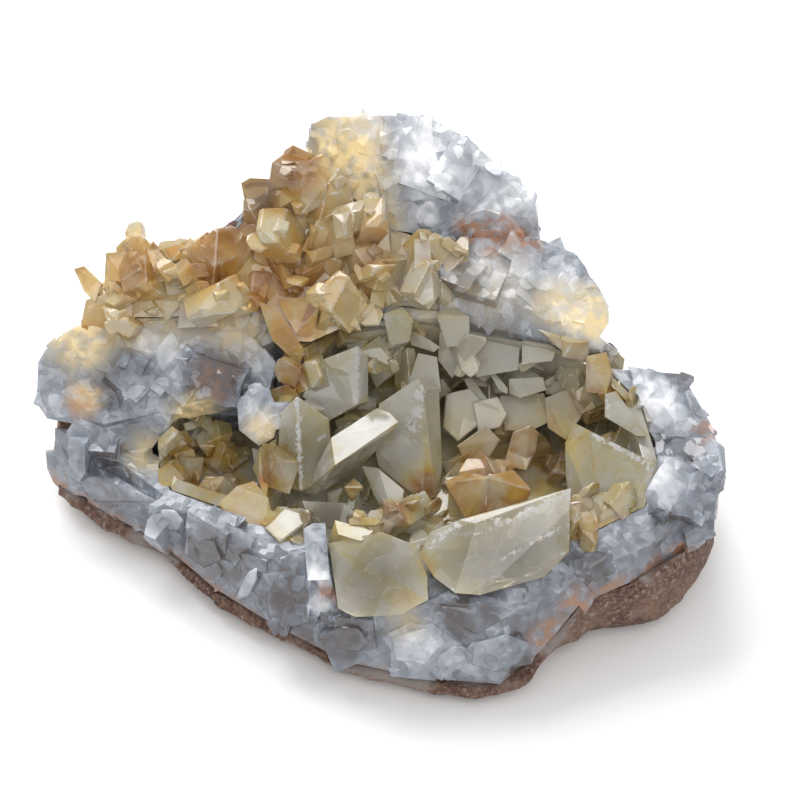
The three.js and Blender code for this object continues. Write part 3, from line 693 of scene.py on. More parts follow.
# The massive celestite: grey-blue and clear in places, frosted white in others, with yellow and rusty stains.
# Each spot: the pixel of its middle, its radius in millimetres and its amount.
massiveSpots = {
    "spill": {
        "topLeft": (345, 150, 13, 0.9),
        "topLeftMiddle": (352, 180, 13, 0.75),
        "topLeftLow": (375, 222, 9, 0.7),
        "stepRight": (592, 315, 10, 0.8),
        "stepEdge": (560, 305, 9, 0.55),
        "stepMiddle": (490, 290, 14, 0.22),
        "underBlades": (430, 314, 12, 0.4),
        "leftEnd": (80, 340, 10, 0.7),
        "shoulderLeft": (120, 318, 12, 0.7),
        "shoulder": (175, 312, 13, 0.55),
        "shoulderRight": (235, 315, 13, 0.6),
        "ledgeSeam": (85, 398, 5, 0.7),
        "chamberRoof": (195, 413, 8, 0.9),
        "ledgeTooth": (262, 430, 6, 0.6),
        "rightRim": (600, 375, 9, 0.6),
        "rightRimLow": (640, 420, 6, 0.3),
        "chamberSide": (150, 455, 8, 0.5),
        "front": (405, 620, 6, 0.35),
    },
    "rust": {
        "topSeam": (498, 234, 7, 0.9),
        "topSeamRight": (524, 238, 6, 0.8),
        "topSeamLeft": (470, 230, 5, 0.8),
        "frontRim": (300, 640, 4, 0.6),
        "rimRight": (545, 634, 7, 0.8),
        "belowLongFront": (575, 606, 6, 0.7),
        "ledgeBand": (80, 404, 5, 0.6),
        "ledgeDark": (215, 380, 7, 0.3),
        "rightSide": (706, 430, 5, 0.5),
    },
    # Spots that make the tone paler or darker: the top and topRight ones paint light on the top, the front,
    # frontRight and rightBand ones paint shade on the front band, and the others follow the grains' own tone.
    "pale": {
        "top": (430, 150, 16, 0.52),
        "topRight": (500, 190, 15, 0.48),
        "front": (300, 610, 20, -0.16),
        "frontRight": (470, 640, 18, -0.1),
        "ledge": (120, 340, 14, -0.1),
        "rightBand": (690, 450, 10, -0.18),
        "topLeft": (348, 165, 12, -0.12),
        "topWhite": (365, 125, 9, 0.4),
        "step": (520, 270, 16, 0.12),
        "stepGrey": (448, 280, 8, -0.3),
        "underBlades": (420, 314, 12, 0.25),
        "ledgeTop": (190, 310, 14, 0.12),
        "ledgeChips": (150, 345, 7, 0.35),
        "ledgeDark": (212, 370, 9, -0.55),
        "ledgeDarkLeft": (110, 385, 8, -0.3),
        "whiteChunk": (258, 405, 9, 0.25),
        "leftEnd": (90, 460, 9, -0.25),
        "band": (150, 500, 12, 0.15),
        "blueFan": (292, 590, 8, -0.35),
        "fanColumn": (318, 575, 4, 0.6),
        "fanFoot": (318, 608, 4, 0.5),
        "blueLeft": (235, 560, 9, -0.25),
        "greyFront": (352, 640, 7, -0.35),
        "frontWhite": (430, 645, 10, 0.2),
        "greyBelowLong": (470, 612, 10, -0.3),
        "lavender": (508, 660, 9, -0.15),
        "rightGrey": (590, 568, 8, -0.35),
        "rightWhite": (660, 480, 9, 0.45),
        "rightBlue": (668, 525, 8, -0.15),
        "rightTop": (660, 400, 9, 0.3),
        "rightBlueTop": (680, 380, 6, -0.3),
    },
}


# The shares are what each thing adds to the tone, which the colours follow from dark to frosted white; the
# share of faces that look up is painted light from above.
massiveLook = {
    "colours": {
        0.0: shade(88, 84, 86),
        0.25: shade(112, 117, 126),
        0.5: shade(144, 149, 158),
        0.75: shade(184, 187, 193),
        1.0: shade(232, 233, 235),
    },
    "blockShare": 0.19,
    "grainShare": 0.13,
    "broadShare": 0.23,
    "smallShare": 0.16,
    "paintedTopLightShare": 0.16,
    "spill": shade(226, 202, 148),
    "spillRagged": (1.15, 0.6),
    "rust": shade(158, 112, 80),
    "rustRagged": (1.2, 0.2),
    "roughness": (0.2, 0.5),
    "milky": 0.85,
    "milkyDepth": 0.0025,
}


def makeMassiveMaterial():
    material, tree, shader, place = newMaterial("massiveCelestite")
    look = massiveLook
    bent = bentPlace(tree, place["Object"], 0.006)
    fine = grains(tree, bent, place["Normal"], 420.0, 0.5, 0.06)
    broad = clouds(tree, bent, 70.0, 0.4, 0.64)["Mask"]
    small = clouds(tree, bent, 330.0, 0.38, 0.66)["Mask"]
    # Faces that look up are made paler: painted light from above.
    upward = addNode(tree, "ShaderNodeSeparateXYZ", {0: place["Normal"]}).outputs[2]
    parts = {
        "blockShare": attribute(tree, "tone"),
        "grainShare": fine["Tone"],
        "broadShare": broad,
        "smallShare": small,
        "paintedTopLightShare": upward,
    }
    # The tone starts from the pale spots, which partly paint light and shade.
    tone = attribute(tree, "pale")
    for share, part in parts.items():
        tone = calc(tree, "MULTIPLY_ADD", part, look[share], tone)
    colour = ramp(tree, tone, look["colours"])
    for stain in ("spill", "rust"):
        ragged = remapped(tree, small, 0.0, 1.0, *look[stain + "Ragged"])
        share = calc(tree, "MULTIPLY", attribute(tree, stain), ragged, clamp=True)
        colour = blended(tree, share, colour, look[stain])
    inputs = shader.inputs
    tree.links.new(colour, inputs["Base Color"])
    tree.links.new(remapped(tree, tone, 0.2, 0.8, *look["roughness"]), inputs["Roughness"])
    tree.links.new(fine["Normal"], inputs["Normal"])
    shader.subsurface_method = "BURLEY"
    inputs["Subsurface Weight"].default_value = look["milky"]
    inputs["Subsurface Radius"].default_value = (1, 1, 1)
    inputs["Subsurface Scale"].default_value = look["milkyDepth"]
    return material


# The clear crystals of the hollow: grey-green, yellow towards the floor and amber in its right half.
cavitySpots = {
    "spill": {
        "floorRight": (500, 470, 20, 0.62),
        "deepAmber": (497, 508, 8, 0.85),
        "amberLeft": (455, 500, 9, 0.6),
        "amberBack": (535, 450, 12, 0.6),
        "middle": (465, 430, 10, 0.35),
        "centreTip": (421, 486, 7, 0.9),
        "lowTip": (391, 514, 6, 0.75),
        "leftPoint": (268, 470, 8, 0.85),
        "leftLump": (245, 500, 10, 0.55),
        "chamber": (200, 465, 14, 0.5),
        "backLeft": (310, 340, 16, 0.6),
        "leftOfPrism": (290, 375, 9, 0.55),
        "topRight": (590, 372, 10, 0.6),
        "rightBack": (560, 400, 10, 0.4),
        "plateEdge": (568, 450, 4, 0.35),
        "plateSide": (600, 520, 9, 0.45),
        "plateAll": (610, 480, 14, 0.25),
        "plateFoot": (633, 538, 3, 0.9),
        "frontCorner": (427, 562, 3, 0.5),
        "frontLow": (404, 598, 3, 0.5),
        "floorLeft": (350, 520, 12, 0.3),
        "backWall": (440, 370, 20, 0.25),
        "rightUpper": (560, 415, 12, 0.45),
    },
    # backWall, backWallRight and behind paint light on the shaded back wall; the negative spots darken their
    # crystals, and backLeft, under the overhang, is painted shade.
    "pale": {
        "backWall": (480, 370, 24, 0.75),
        "backWallRight": (560, 370, 14, 0.65),
        "behind": (395, 350, 9, 0.5),
        "frontBlock": (375, 575, 12, -0.65),
        "floorLeft": (330, 520, 9, -0.9),
        "longFront": (500, 555, 16, -0.6),
        "leftPrism": (300, 450, 10, -0.5),
        "backLeft": (312, 338, 13, -1.0),
        "rightPlate": (610, 480, 11, -0.2),
    },
}
# Ridges that are frosted or chipped white: the pixels of their ends, and their width in millimetres.
frostSeams = {
    "leftPrismRidge": ((298, 400), (300, 488), 0.9),
    "leftPrismFoot": ((303, 492), (324, 483), 0.4),
    "leftPrismSide": ((328, 433), (319, 440), 0.5),
    "centreRidge": ((421, 386), (423, 497), 1.1),
    "centrePatch": ((417, 404), (413, 432), 1.9),
    "backPlateRidge": ((357, 352), (357, 398), 0.8),
    "backPlateTop": ((345, 349), (370, 355), 0.9),
    "rightPlateTop": ((592, 433), (650, 466), 0.8),
    "rightPlateSide": ((652, 468), (650, 520), 1.1),
    "rightPlateCorner": ((630, 448), (650, 470), 1.3),
    "longTop": ((426, 546), (458, 524), 0.8),
    "longTopMiddle": ((460, 523), (512, 521), 0.9),
    "longTopRight": ((515, 519), (568, 492), 1.0),
    "longInner": ((475, 535), (566, 506), 0.5),
    "longInnerLow": ((500, 560), (560, 528), 0.4),
    "longLow": ((445, 588), (566, 552), 0.5),
    "longSide": ((568, 492), (568, 545), 0.4),
    "upperPlateEdge": ((607, 396), (608, 416), 0.7),
}


# The white of frost, and of the painted highlights and glints.
frostWhite = shade(240, 241, 240)


def makeCrystalMaterial(name, look):
    material, tree, shader, place = newMaterial(name)
    bent = bentPlace(tree, place["Object"], 0.004)
    milky = clouds(tree, bent, 130.0, 0.4, 0.7)["Mask"]
    veins = clouds(tree, bent, 520.0, 0.42, 0.64)["Mask"]
    deep = clouds(tree, bent, 75.0, 0.42, 0.66)["Mask"]
    fine = clouds(tree, bent, 1000.0, 0.66, 0.74)
    inner = grains(tree, bent, place["Normal"], 150.0, look["slant"], 0.03)

    # How far the stain goes: by its spots, but a crystal's own stain can hold it off or add to it.
    own = attribute(tree, "stain")
    stain = calc(tree, "ADD", attribute(tree, "spill"), calc(tree, "MINIMUM", own, 0.0))
    stain = calc(tree, "MAXIMUM", stain, own)
    stain = calc(tree, "MULTIPLY_ADD", attribute(tree, "tone"), look["unevenness"], stain)
    stain = calc(tree, "MULTIPLY_ADD", milky, -0.15, stain)
    # Sharp edges are painted more honey-coloured: a painted glow of the light that passes through thin edges.
    rim = calc(tree, "MULTIPLY", attribute(tree, "rim"), remapped(tree, deep, 0.0, 1.0, 0.3, 1.0))
    stain = calc(tree, "MULTIPLY_ADD", rim, look["rim"], stain)
    stain = calc(tree, "MULTIPLY_ADD", inner["Tone"], 0.15, stain)
    colour = ramp(tree, stain, look["colours"])

    # Deeper zones and milky veils. The pale spots blend towards the veil colour, which on the hollow's back
    # wall is painted light, and below zero towards the dark colour, which in the deep corners is painted
    # shade.
    deep = calc(tree, "MULTIPLY_ADD", inner["Tone"], 1.2, deep)
    deep = calc(tree, "MULTIPLY", deep, look["deep"], clamp=True)
    colour = blended(tree, deep, colour, look["depths"])
    pale = attribute(tree, "pale")
    milk = calc(tree, "MAXIMUM", calc(tree, "MULTIPLY", milky, look["milky"]), pale)
    colour = blended(tree, milk, colour, look["veil"])
    colour = blended(tree, calc(tree, "MULTIPLY", pale, -1.0, clamp=True), colour, look["dark"])

    # Frost and painted highlights: frosted white on broken edges, in cracks and along the seams, painted
    # highlights on the crystals given white, and flecks that are painted glints as well as scratches.
    veined = remapped(tree, veins, 0.0, 1.0, look["edge"], 0.75)
    edge = calc(tree, "MULTIPLY", attribute(tree, "frost"), veined)
    edge = calc(tree, "MULTIPLY", edge, remapped(tree, stain, 0.3, 0.7, 1.0, 0.4))
    scratch = calc(tree, "MULTIPLY", calc(tree, "MULTIPLY", inner["Crack"], veins), look["scratch"])
    seam = calc(tree, "MULTIPLY_ADD", fine["Value"], 4.0, attribute(tree, "seam"))
    seam = calc(tree, "MULTIPLY_ADD", veins, 0.8, seam)
    frost = calc(tree, "MAXIMUM", edge, scratch)
    frost = calc(tree, "MAXIMUM", frost, remapped(tree, seam, 2.4, 3.2, 0.0, 0.95))
    # The flecks are painted glints as well as scratches.
    frost = calc(tree, "MAXIMUM", frost, calc(tree, "MULTIPLY", fine["Mask"], look["glintAndScratchFlecks"]))
    colour = blended(tree, frost, colour, frostWhite)
    inputs = shader.inputs
    tree.links.new(colour, inputs["Base Color"])
    tree.links.new(remapped(tree, frost, 0.0, 1.0, look["roughness"], 0.6), inputs["Roughness"])
    tree.links.new(inner["Normal"], inputs["Normal"])
    inputs["Transmission Weight"].default_value = look["transmission"]
    absorb(tree, look["tint"], look["density"])
    return material


clearLook = {
    "colours": {
        0.0: shade(206, 204, 196),
        0.2: shade(218, 210, 176),
        0.45: shade(228, 204, 128),
        0.7: shade(226, 180, 84),
        1.0: shade(196, 124, 56),
    },
    # How much more honey the sharp edges are painted, as a glow of light through them.
    "rim": 0.45,
    "unevenness": 0.2,
    "milky": 0.6,
    "veil": shade(236, 232, 220),
    "deep": 0.3,
    "depths": shade(164, 152, 118),
    # The colour of the painted shade in the deep corners, and of the crystals that the pale spots darken.
    "dark": shade(102, 94, 74),
    "edge": 0.15,
    "scratch": 0.25,
    "glintAndScratchFlecks": 0.3,
    "slant": 0.05,
    "roughness": 0.08,
    "transmission": 0.55,
    "tint": (0.94, 0.86, 0.64, 1),
    "density": 35,
}
# The stained crystals: brown on the ridge, amber on the walls and paler to the right.
stainedSpots = {
    "spill": {
        "ridgeBrown": (292, 165, 11, 1.0),
        "ridgeLeft": (262, 195, 10, 0.9),
        "backBrown": (235, 232, 12, 0.85),
        "middle": (280, 285, 16, 0.75),
        "columns": (375, 250, 10, 0.75),
        "boxes": (130, 270, 12, 0.7),
        "leftTip": (84, 280, 8, 0.4),
        "leftEnd": (95, 325, 12, 0.5),
        "tail": (215, 265, 14, 0.75),
        "paleMiddle": (180, 275, 12, 0.5),
        "hanging": (290, 330, 12, 0.75),
        "chips": (318, 260, 12, 0.6),
        "lowRight": (375, 295, 9, 0.4),
    },
    "pale": {
        "skyBlock": (262, 197, 9, -0.8),
        "ridge": (292, 170, 8, -0.45),
        "leftBoxes": (130, 270, 10, -0.25),
        "right": (350, 250, 12, 0.45),
    },
}
stainedCrystalLook = {
    "colours": {
        0.0: shade(230, 226, 210),
        0.25: shade(236, 222, 176),
        0.5: shade(240, 210, 138),
        0.75: shade(230, 180, 98),
        1.0: shade(186, 130, 74),
    },
    # How much more honey the sharp edges are painted, as a glow of light through them.
    "rim": 0.12,
    "unevenness": 0.25,
    "milky": 0.35,
    "veil": shade(236, 224, 196),
    "deep": 0.2,
    "depths": shade(186, 134, 72),
    "dark": shade(132, 106, 78),
    "edge": 0.1,
    "scratch": 0.3,
    "glintAndScratchFlecks": 0.4,
    "slant": 0.2,
    "roughness": 0.1,
    "transmission": 0.5,
    "tint": (0.96, 0.86, 0.6, 1),
    "density": 25,
}

massiveMaterial = makeMassiveMaterial()
clearMaterial = makeCrystalMaterial("clearCelestite", clearLook)
stainedMaterial = makeCrystalMaterial("stainedCelestite", stainedCrystalLook)


# The rind: sandy, reddish brown, with paler and darker grains and a greyer crust near the celestite.
rockLook = {
    "dark": shade(82, 52, 44),
    "brown": shade(128, 98, 82),
    "sand": shade(156, 128, 108),
    "grit": shade(200, 184, 168),
    "crust": shade(158, 150, 146),
    "bump": 0.0015,
    "roughness": 0.9,
}


def makeRockMaterial():
    material, tree, shader, place = newMaterial("hostRock")
    spot = place["Object"]
    patches = clouds(tree, spot, 70.0, 0.38, 0.62)["Mask"]
    grit = clouds(tree, spot, 700.0, 0.58, 0.68)["Mask"]
    fine = {"Vector": spot, "Scale": 900.0, "Detail": 6.0, "Roughness": 0.7}
    sand = addNode(tree, "ShaderNodeTexNoise", fine).outputs[0]
    colour = blended(tree, patches, rockLook["dark"], rockLook["brown"])
    colour = blended(tree, remapped(tree, sand, 0.38, 0.72), colour, rockLook["sand"])
    colour = blended(tree, calc(tree, "MULTIPLY", grit, 0.4), colour, rockLook["grit"])
    crust = calc(tree, "MULTIPLY_ADD", grit, 0.5, calc(tree, "ADD", attribute(tree, "crust"), patches))
    colour = blended(tree, remapped(tree, crust, 0.75, 1.45, 0.0, 0.85), colour, rockLook["crust"])
    bump = addNode(tree, "ShaderNodeBump", {"Height": sand, "Distance": rockLook["bump"], "Strength": 1.0})
    inputs = shader.inputs
    tree.links.new(colour, inputs["Base Color"])
    tree.links.new(bump.outputs[0], inputs["Normal"])
    inputs["Roughness"].default_value = rockLook["roughness"]
    return material


rockMaterial = makeRockMaterial()
print("materials made")


def finish(piece, node, material):
    piece.data.materials.clear()
    piece.data.materials.append(material)
    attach(piece, "root")
    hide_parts(node)


def cutToBox(piece, node):
    low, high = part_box(node)
    joinedOrCut(piece, linked("box", boxMesh(low, high)), "INTERSECT")


# The massive celestite: its CAD form, roughened by large, middling and small cleavage blocks.
massiveScatter = {
    "large": scatterSize(0.0054, 0.006, 0.0105, 0.25, 0.08, 3),
    "middling": scatterSize(0.0036, 0.004, 0.0065, 0.235, 0.14, 7),
    "small": scatterSize(0.0030, 0.002, 0.0035, 0.18, 0.25, 8),
}
massive = {
    "lowestSlope": -0.2,  # blocks lie on faces that look up at least so far
    "groundEdge": 0.002,
    "flatReach": {"large": 0.0050, "middling": 0.0024, "small": 0.0008},  # and are flat this far round
    "overhang": 0.16,  # but for this share of it
    "rindMargin": 0.0006,  # how far they keep from the rind
    "plateDepth": 0.005,
    "plateBevel": 0.0003,
    "rustReach": 0.0022,  # how far the rust goes from the rind
    "rustMost": 0.7,
}


# A cleavage plate: its tone, how far it stands out in millimetres, and the pixels of its corners.
def plate(tone, riseMm, *corners):
    return {"tone": tone, "rise": riseMm, "corners": corners}


# The plates of the front band that can be told apart.
frontPlates = {
    "blueFan": plate(-0.5, 1.3, (288, 552), (312, 556), (309, 622), (289, 629), (268, 616), (266, 597)),
    "fanColumn": plate(1.0, 1.4, (313, 543), (327, 540), (327, 559), (317, 624), (308, 626)),
    "whiteFlake": plate(1.5, 1.4, (248, 572), (257, 567), (257, 580), (248, 597), (235, 600)),
    "darkPatch": plate(-1.3, 1.0, (240, 552), (268, 560), (268, 574), (245, 568)),
    "paleLump": plate(0.9, 1.4, (150, 516), (162, 509), (175, 510), (184, 520), (179, 530), (159, 530)),
    "greyDisc": plate(-0.9, 0.9, (332, 632), (342, 626), (358, 628), (368, 641), (360, 652), (340, 650)),
    "greySlab": plate(-0.9, 1.0, (440, 606), (530, 605), (498, 622), (476, 634), (444, 618)),
    "lavenderSlab": plate(-0.1, 1.4, (474, 643), (506, 634), (530, 643), (520, 662), (494, 672), (471, 664)),
    "roundGrey": plate(-0.5, 0.8, (572, 560), (590, 550), (612, 553), (616, 572), (596, 582), (575, 576)),
    "paleSlab": plate(0.6, 1.2, (392, 636), (426, 628), (440, 646), (424, 664), (396, 660)),
    "leftSlab": plate(-0.4, 1.2, (78, 470), (104, 468), (112, 492), (94, 502), (76, 492)),
    "leftGrey": plate(-0.9, 1.1, (188, 536), (214, 540), (222, 560), (204, 568), (188, 556)),
}


# They lie on a piece where the camera sees it.
def platesOn(tree, plates):
    meshes = []
    for key, recipe in plates.items():
        face = [Vector(seenOn(tree, u, v)) - forward * recipe["rise"] / 1000 for u, v in recipe["corners"]]
        root = [corner + forward * massive["plateDepth"] for corner in face]
        meshes.append(hullMesh(key, face + root, massive["plateBevel"], tone=recipe["tone"]))
    return gathered("plates", meshes)


# Whether a surface stays near its tangent plane all round a point, so that nothing overhangs there.
def flatRound(tree, point, normal, reach):
    side = normal.orthogonal().normalized()
    across = normal.cross(side)
    for k in range(6):
        angle = k * math.pi / 3
        probe = point + (side * math.cos(angle) + across * math.sin(angle)) * reach
        near, slope, _, _ = tree.find_nearest(probe)
        if (probe - near).dot(slope) > reach * massive["overhang"]:
            return False
    return True


def makeMassive():
    piece = mergedCopy("massive_celestite", "massiveCelestite")
    rock = treeOf(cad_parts["host_rock"].data)
    body = treeOf(piece.data)
    blocks = shapeCollection("blocks", [cleavageBlock(seed) for seed in range(block["kinds"])])
    for seed, (name, recipe) in enumerate(massiveScatter.items()):
        reach = massive["flatReach"][name]

        def isOpen(point, normal):
            isApart = rock.find_nearest(point)[3] > massive["rindMargin"]
            return normal.z > massive["lowestSlope"] and isApart and flatRound(body, point, normal, reach)

        surface = ground(piece, isOpen, massive["groundEdge"])
        joinShells(piece, scattered(surface, blocks, massiveMaterial, recipe), seed)
    joinShells(piece, platesOn(body, frontPlates), namedSeed)
    cutToBox(piece, "massive_celestite")
    paint(piece, massiveSpots, {})
    rust = piece.data.attributes["rust"].data
    for vertex in piece.data.vertices:
        near = 1 - rock.find_nearest(vertex.co)[3] / massive["rustReach"]
        rust[vertex.index].value = max(rust[vertex.index].value, near * massive["rustMost"])
    finish(piece, "massive_celestite", massiveMaterial)


makeMassive()
print("massive celestite made")


# The large crystals of the hollow.
cavityNamed = {
    "leftPrism": crystal(
        14, (297, 396, 42), (280, 413, 37), (276, 472, 25), (291, 489, 23), (301, 492, 25), (325, 482, 23),
        (333, 465, 25), (329, 419, 34)
    ),
    # The white given to whiteBlade is a painted reflection of the light on its top.
    "whiteBlade": crystal(
        12, (331, 438, 36), (377, 408, 36), (390, 413, 36), (398, 422, 36), (396, 428, 35), (335, 465, 35),
        (372, 449, 28), (318, 494, 22), (303, 493, 21), (360, 468, 23), frost=0.5
    ),
    "centrePrism": crystal(
        16, (418, 378, 39), (423, 390, 38), (439, 389, 34), (442, 470, 20), (436, 496, 17), (424, 502, 17),
        (404, 491, 17), (379, 467, 21), (374, 446, 25), (379, 404, 32)
    ),
    "behindPlate": crystal(12, (418, 353, 40), (437, 357, 40), (441, 392, 33), (408, 385, 33)),
    "backPlate": crystal(
        18, (324, 359, 40), (358, 346, 42), (368, 357, 39), (368, 402, 30), (358, 404, 31), (330, 420, 28),
        (302, 396, 33), (308, 385, 35), stain=0.25
    ),
    "lowerGrey": crystal(
        12, (302, 501, 29), (344, 503, 30), (357, 514, 28), (349, 541, 24), (335, 541, 24), (312, 525, 26)
    ),
    "orangeTip": crystal(
        10, (362, 466, 27), (378, 468, 28), (404, 490, 25), (397, 526, 20), (389, 521, 20), (374, 495, 23)
    ),
    "smallTriangle": crystal(6, (343, 487, 28), (354, 478, 28), (364, 487, 28), (352, 503, 23), frost=0.8),
    "middleFacet": crystal(
        10, (457, 446, 25), (486, 425, 30), (500, 440, 27), (488, 460, 22), (470, 472, 19), stain=0.35
    ),
    "amberFacet": crystal(
        12, (513, 432, 29), (531, 425, 31), (539, 433, 29), (536, 452, 25), (526, 472, 21), (504, 466, 21),
        stain=0.5
    ),
    "lowFacet": crystal(
        10, (444, 482, 31), (466, 471, 32), (489, 477, 34), (486, 514, 26), (466, 522, 24), stain=0.5
    ),
    "lowFacetRight": crystal(
        10, (485, 476, 33), (514, 470, 32), (532, 490, 29), (524, 510, 25), (484, 518, 25), stain=0.65
    ),
    "midFloorLeft": crystal(
        14, (446, 394, 30), (470, 388, 32), (484, 404, 30), (480, 424, 27), (458, 442, 24), (443, 428, 25),
        stain=0.1
    ),
    "midFloorRight": crystal(
        14, (472, 402, 31), (498, 396, 31), (508, 414, 28), (500, 428, 26), (478, 432, 26), stain=0.25
    ),
    "darkFacet": crystal(12, (500, 396, 28), (544, 393, 30), (551, 421, 27), (530, 431, 25), (505, 430, 24)),
    "rightFacet": crystal(14, (545, 398, 31), (580, 384, 34), (584, 412, 31), (566, 440, 27), (548, 428, 27)),
    "greyPlate": crystal(
        9, (466, 316, 46), (500, 314, 47), (520, 341, 43), (518, 370, 37), (477, 377, 34), (466, 351, 39)
    ),
    "rimLeft": crystal(10, (382, 314, 47), (402, 306, 49), (414, 318, 46), (410, 342, 41), (390, 347, 40)),
    "rimMiddle": crystal(10, (436, 314, 48), (452, 306, 50), (470, 316, 48), (470, 346, 42), (446, 348, 41)),
    "rimRight": crystal(10, (560, 322, 51), (582, 328, 51), (592, 346, 47), (586, 362, 44), (562, 358, 45)),
    "rimBack": crystal(
        10, (340, 296, 50), (366, 292, 51), (384, 304, 48), (378, 326, 43), (350, 326, 43), stain=0.35
    ),
    # The white given to this face is a painted highlight.
    "frostedFace": crystal(
        9, (522, 333, 45), (536, 331, 46), (557, 349, 44), (552, 361, 42), (530, 363, 41), (522, 365, 40),
        frost=0.45
    ),
    "stripBlade": crystal(
        8, (526, 317, 50), (538, 313, 51), (553, 327, 49), (568, 346, 47), (565, 353, 46), (544, 338, 46),
        frost=0.5
    ),
    # The three glint crystals are given white as painted glints.
    "leftGlint": crystal(
        12, (464, 379, 31), (471, 377, 31), (488, 400, 30), (487, 408, 29), (474, 401, 29), frost=0.6
    ),
    "rightGlint": crystal(
        14, (490, 374, 34), (496, 374, 34), (508, 389, 33), (507, 394, 32), (499, 390, 32), frost=0.6
    ),
    "upperGlint": crystal(
        10, (408, 329, 41), (425, 337, 41), (440, 347, 40), (434, 352, 39), (411, 345, 38), frost=0.55
    ),
    "darkPlate": crystal(12, (509, 379, 34), (543, 377, 35), (546, 390, 33), (520, 398, 31), (509, 393, 31)),
    "leftBack": crystal(
        9, (262, 392, 33), (288, 384, 38), (300, 398, 36), (286, 430, 28), (268, 424, 28), stain=0.3
    ),
    "orangePoint": crystal(
        9, (252, 448, 26), (276, 455, 26), (278, 484, 21), (269, 498, 18), (258, 484, 20), stain=0.75
    ),
    "amberLump": crystal(
        11, (220, 502, 27), (237, 486, 29), (254, 481, 29), (268, 498, 27), (271, 510, 25), (267, 532, 22),
        (239, 540, 21), (221, 524, 23), stain=0.55
    ),
    "backKnobs": crystal(
        10, (322, 318, 43), (352, 312, 45), (360, 330, 42), (350, 346, 37), (322, 344, 37), stain=0.3
    ),
    "backShade": crystal(9, (366, 322, 42), (398, 318, 44), (404, 348, 37), (388, 368, 32), (368, 350, 36)),
    "backMiddle": crystal(9, (440, 330, 42), (462, 326, 44), (466, 362, 36), (452, 378, 32), (438, 360, 36)),
    "rightPlate": crystal(
        16, (575, 423, 40), (565, 443, 37), (566, 478, 31), (574, 520, 26), (605, 545, 28), (640, 530, 31),
        (655, 500, 36), (654, 463, 43), (621, 450, 42), (590, 431, 42), stain=0.15
    ),
    "rightUpperPlate": crystal(
        14, (605, 394, 45), (616, 391, 46), (626, 409, 44), (648, 436, 43), (637, 436, 42), (605, 417, 42)
    ),
    "yellowSide": crystal(
        9, (586, 356, 47), (606, 352, 48), (612, 372, 46), (606, 394, 43), (586, 392, 41), stain=0.4
    ),
    "longFront": crystal(
        12, (420, 555, 34), (430, 532, 38), (459, 520, 41), (476, 523, 42), (514, 518, 43), (523, 503, 44),
        (571, 488, 46), (569, 510, 43), (569, 552, 35), (544, 577, 32), (523, 583, 31), (480, 595, 31),
        (455, 593, 31), (434, 577, 32), stain=0.1
    ),
    "frontBlock": crystal(
        12, (329, 543, 31), (352, 540, 32), (382, 532, 34), (415, 545, 34), (427, 575, 32), (428, 600, 30),
        (400, 615, 27), (355, 617, 24), (338, 608, 24), stain=0.05
    ),
}
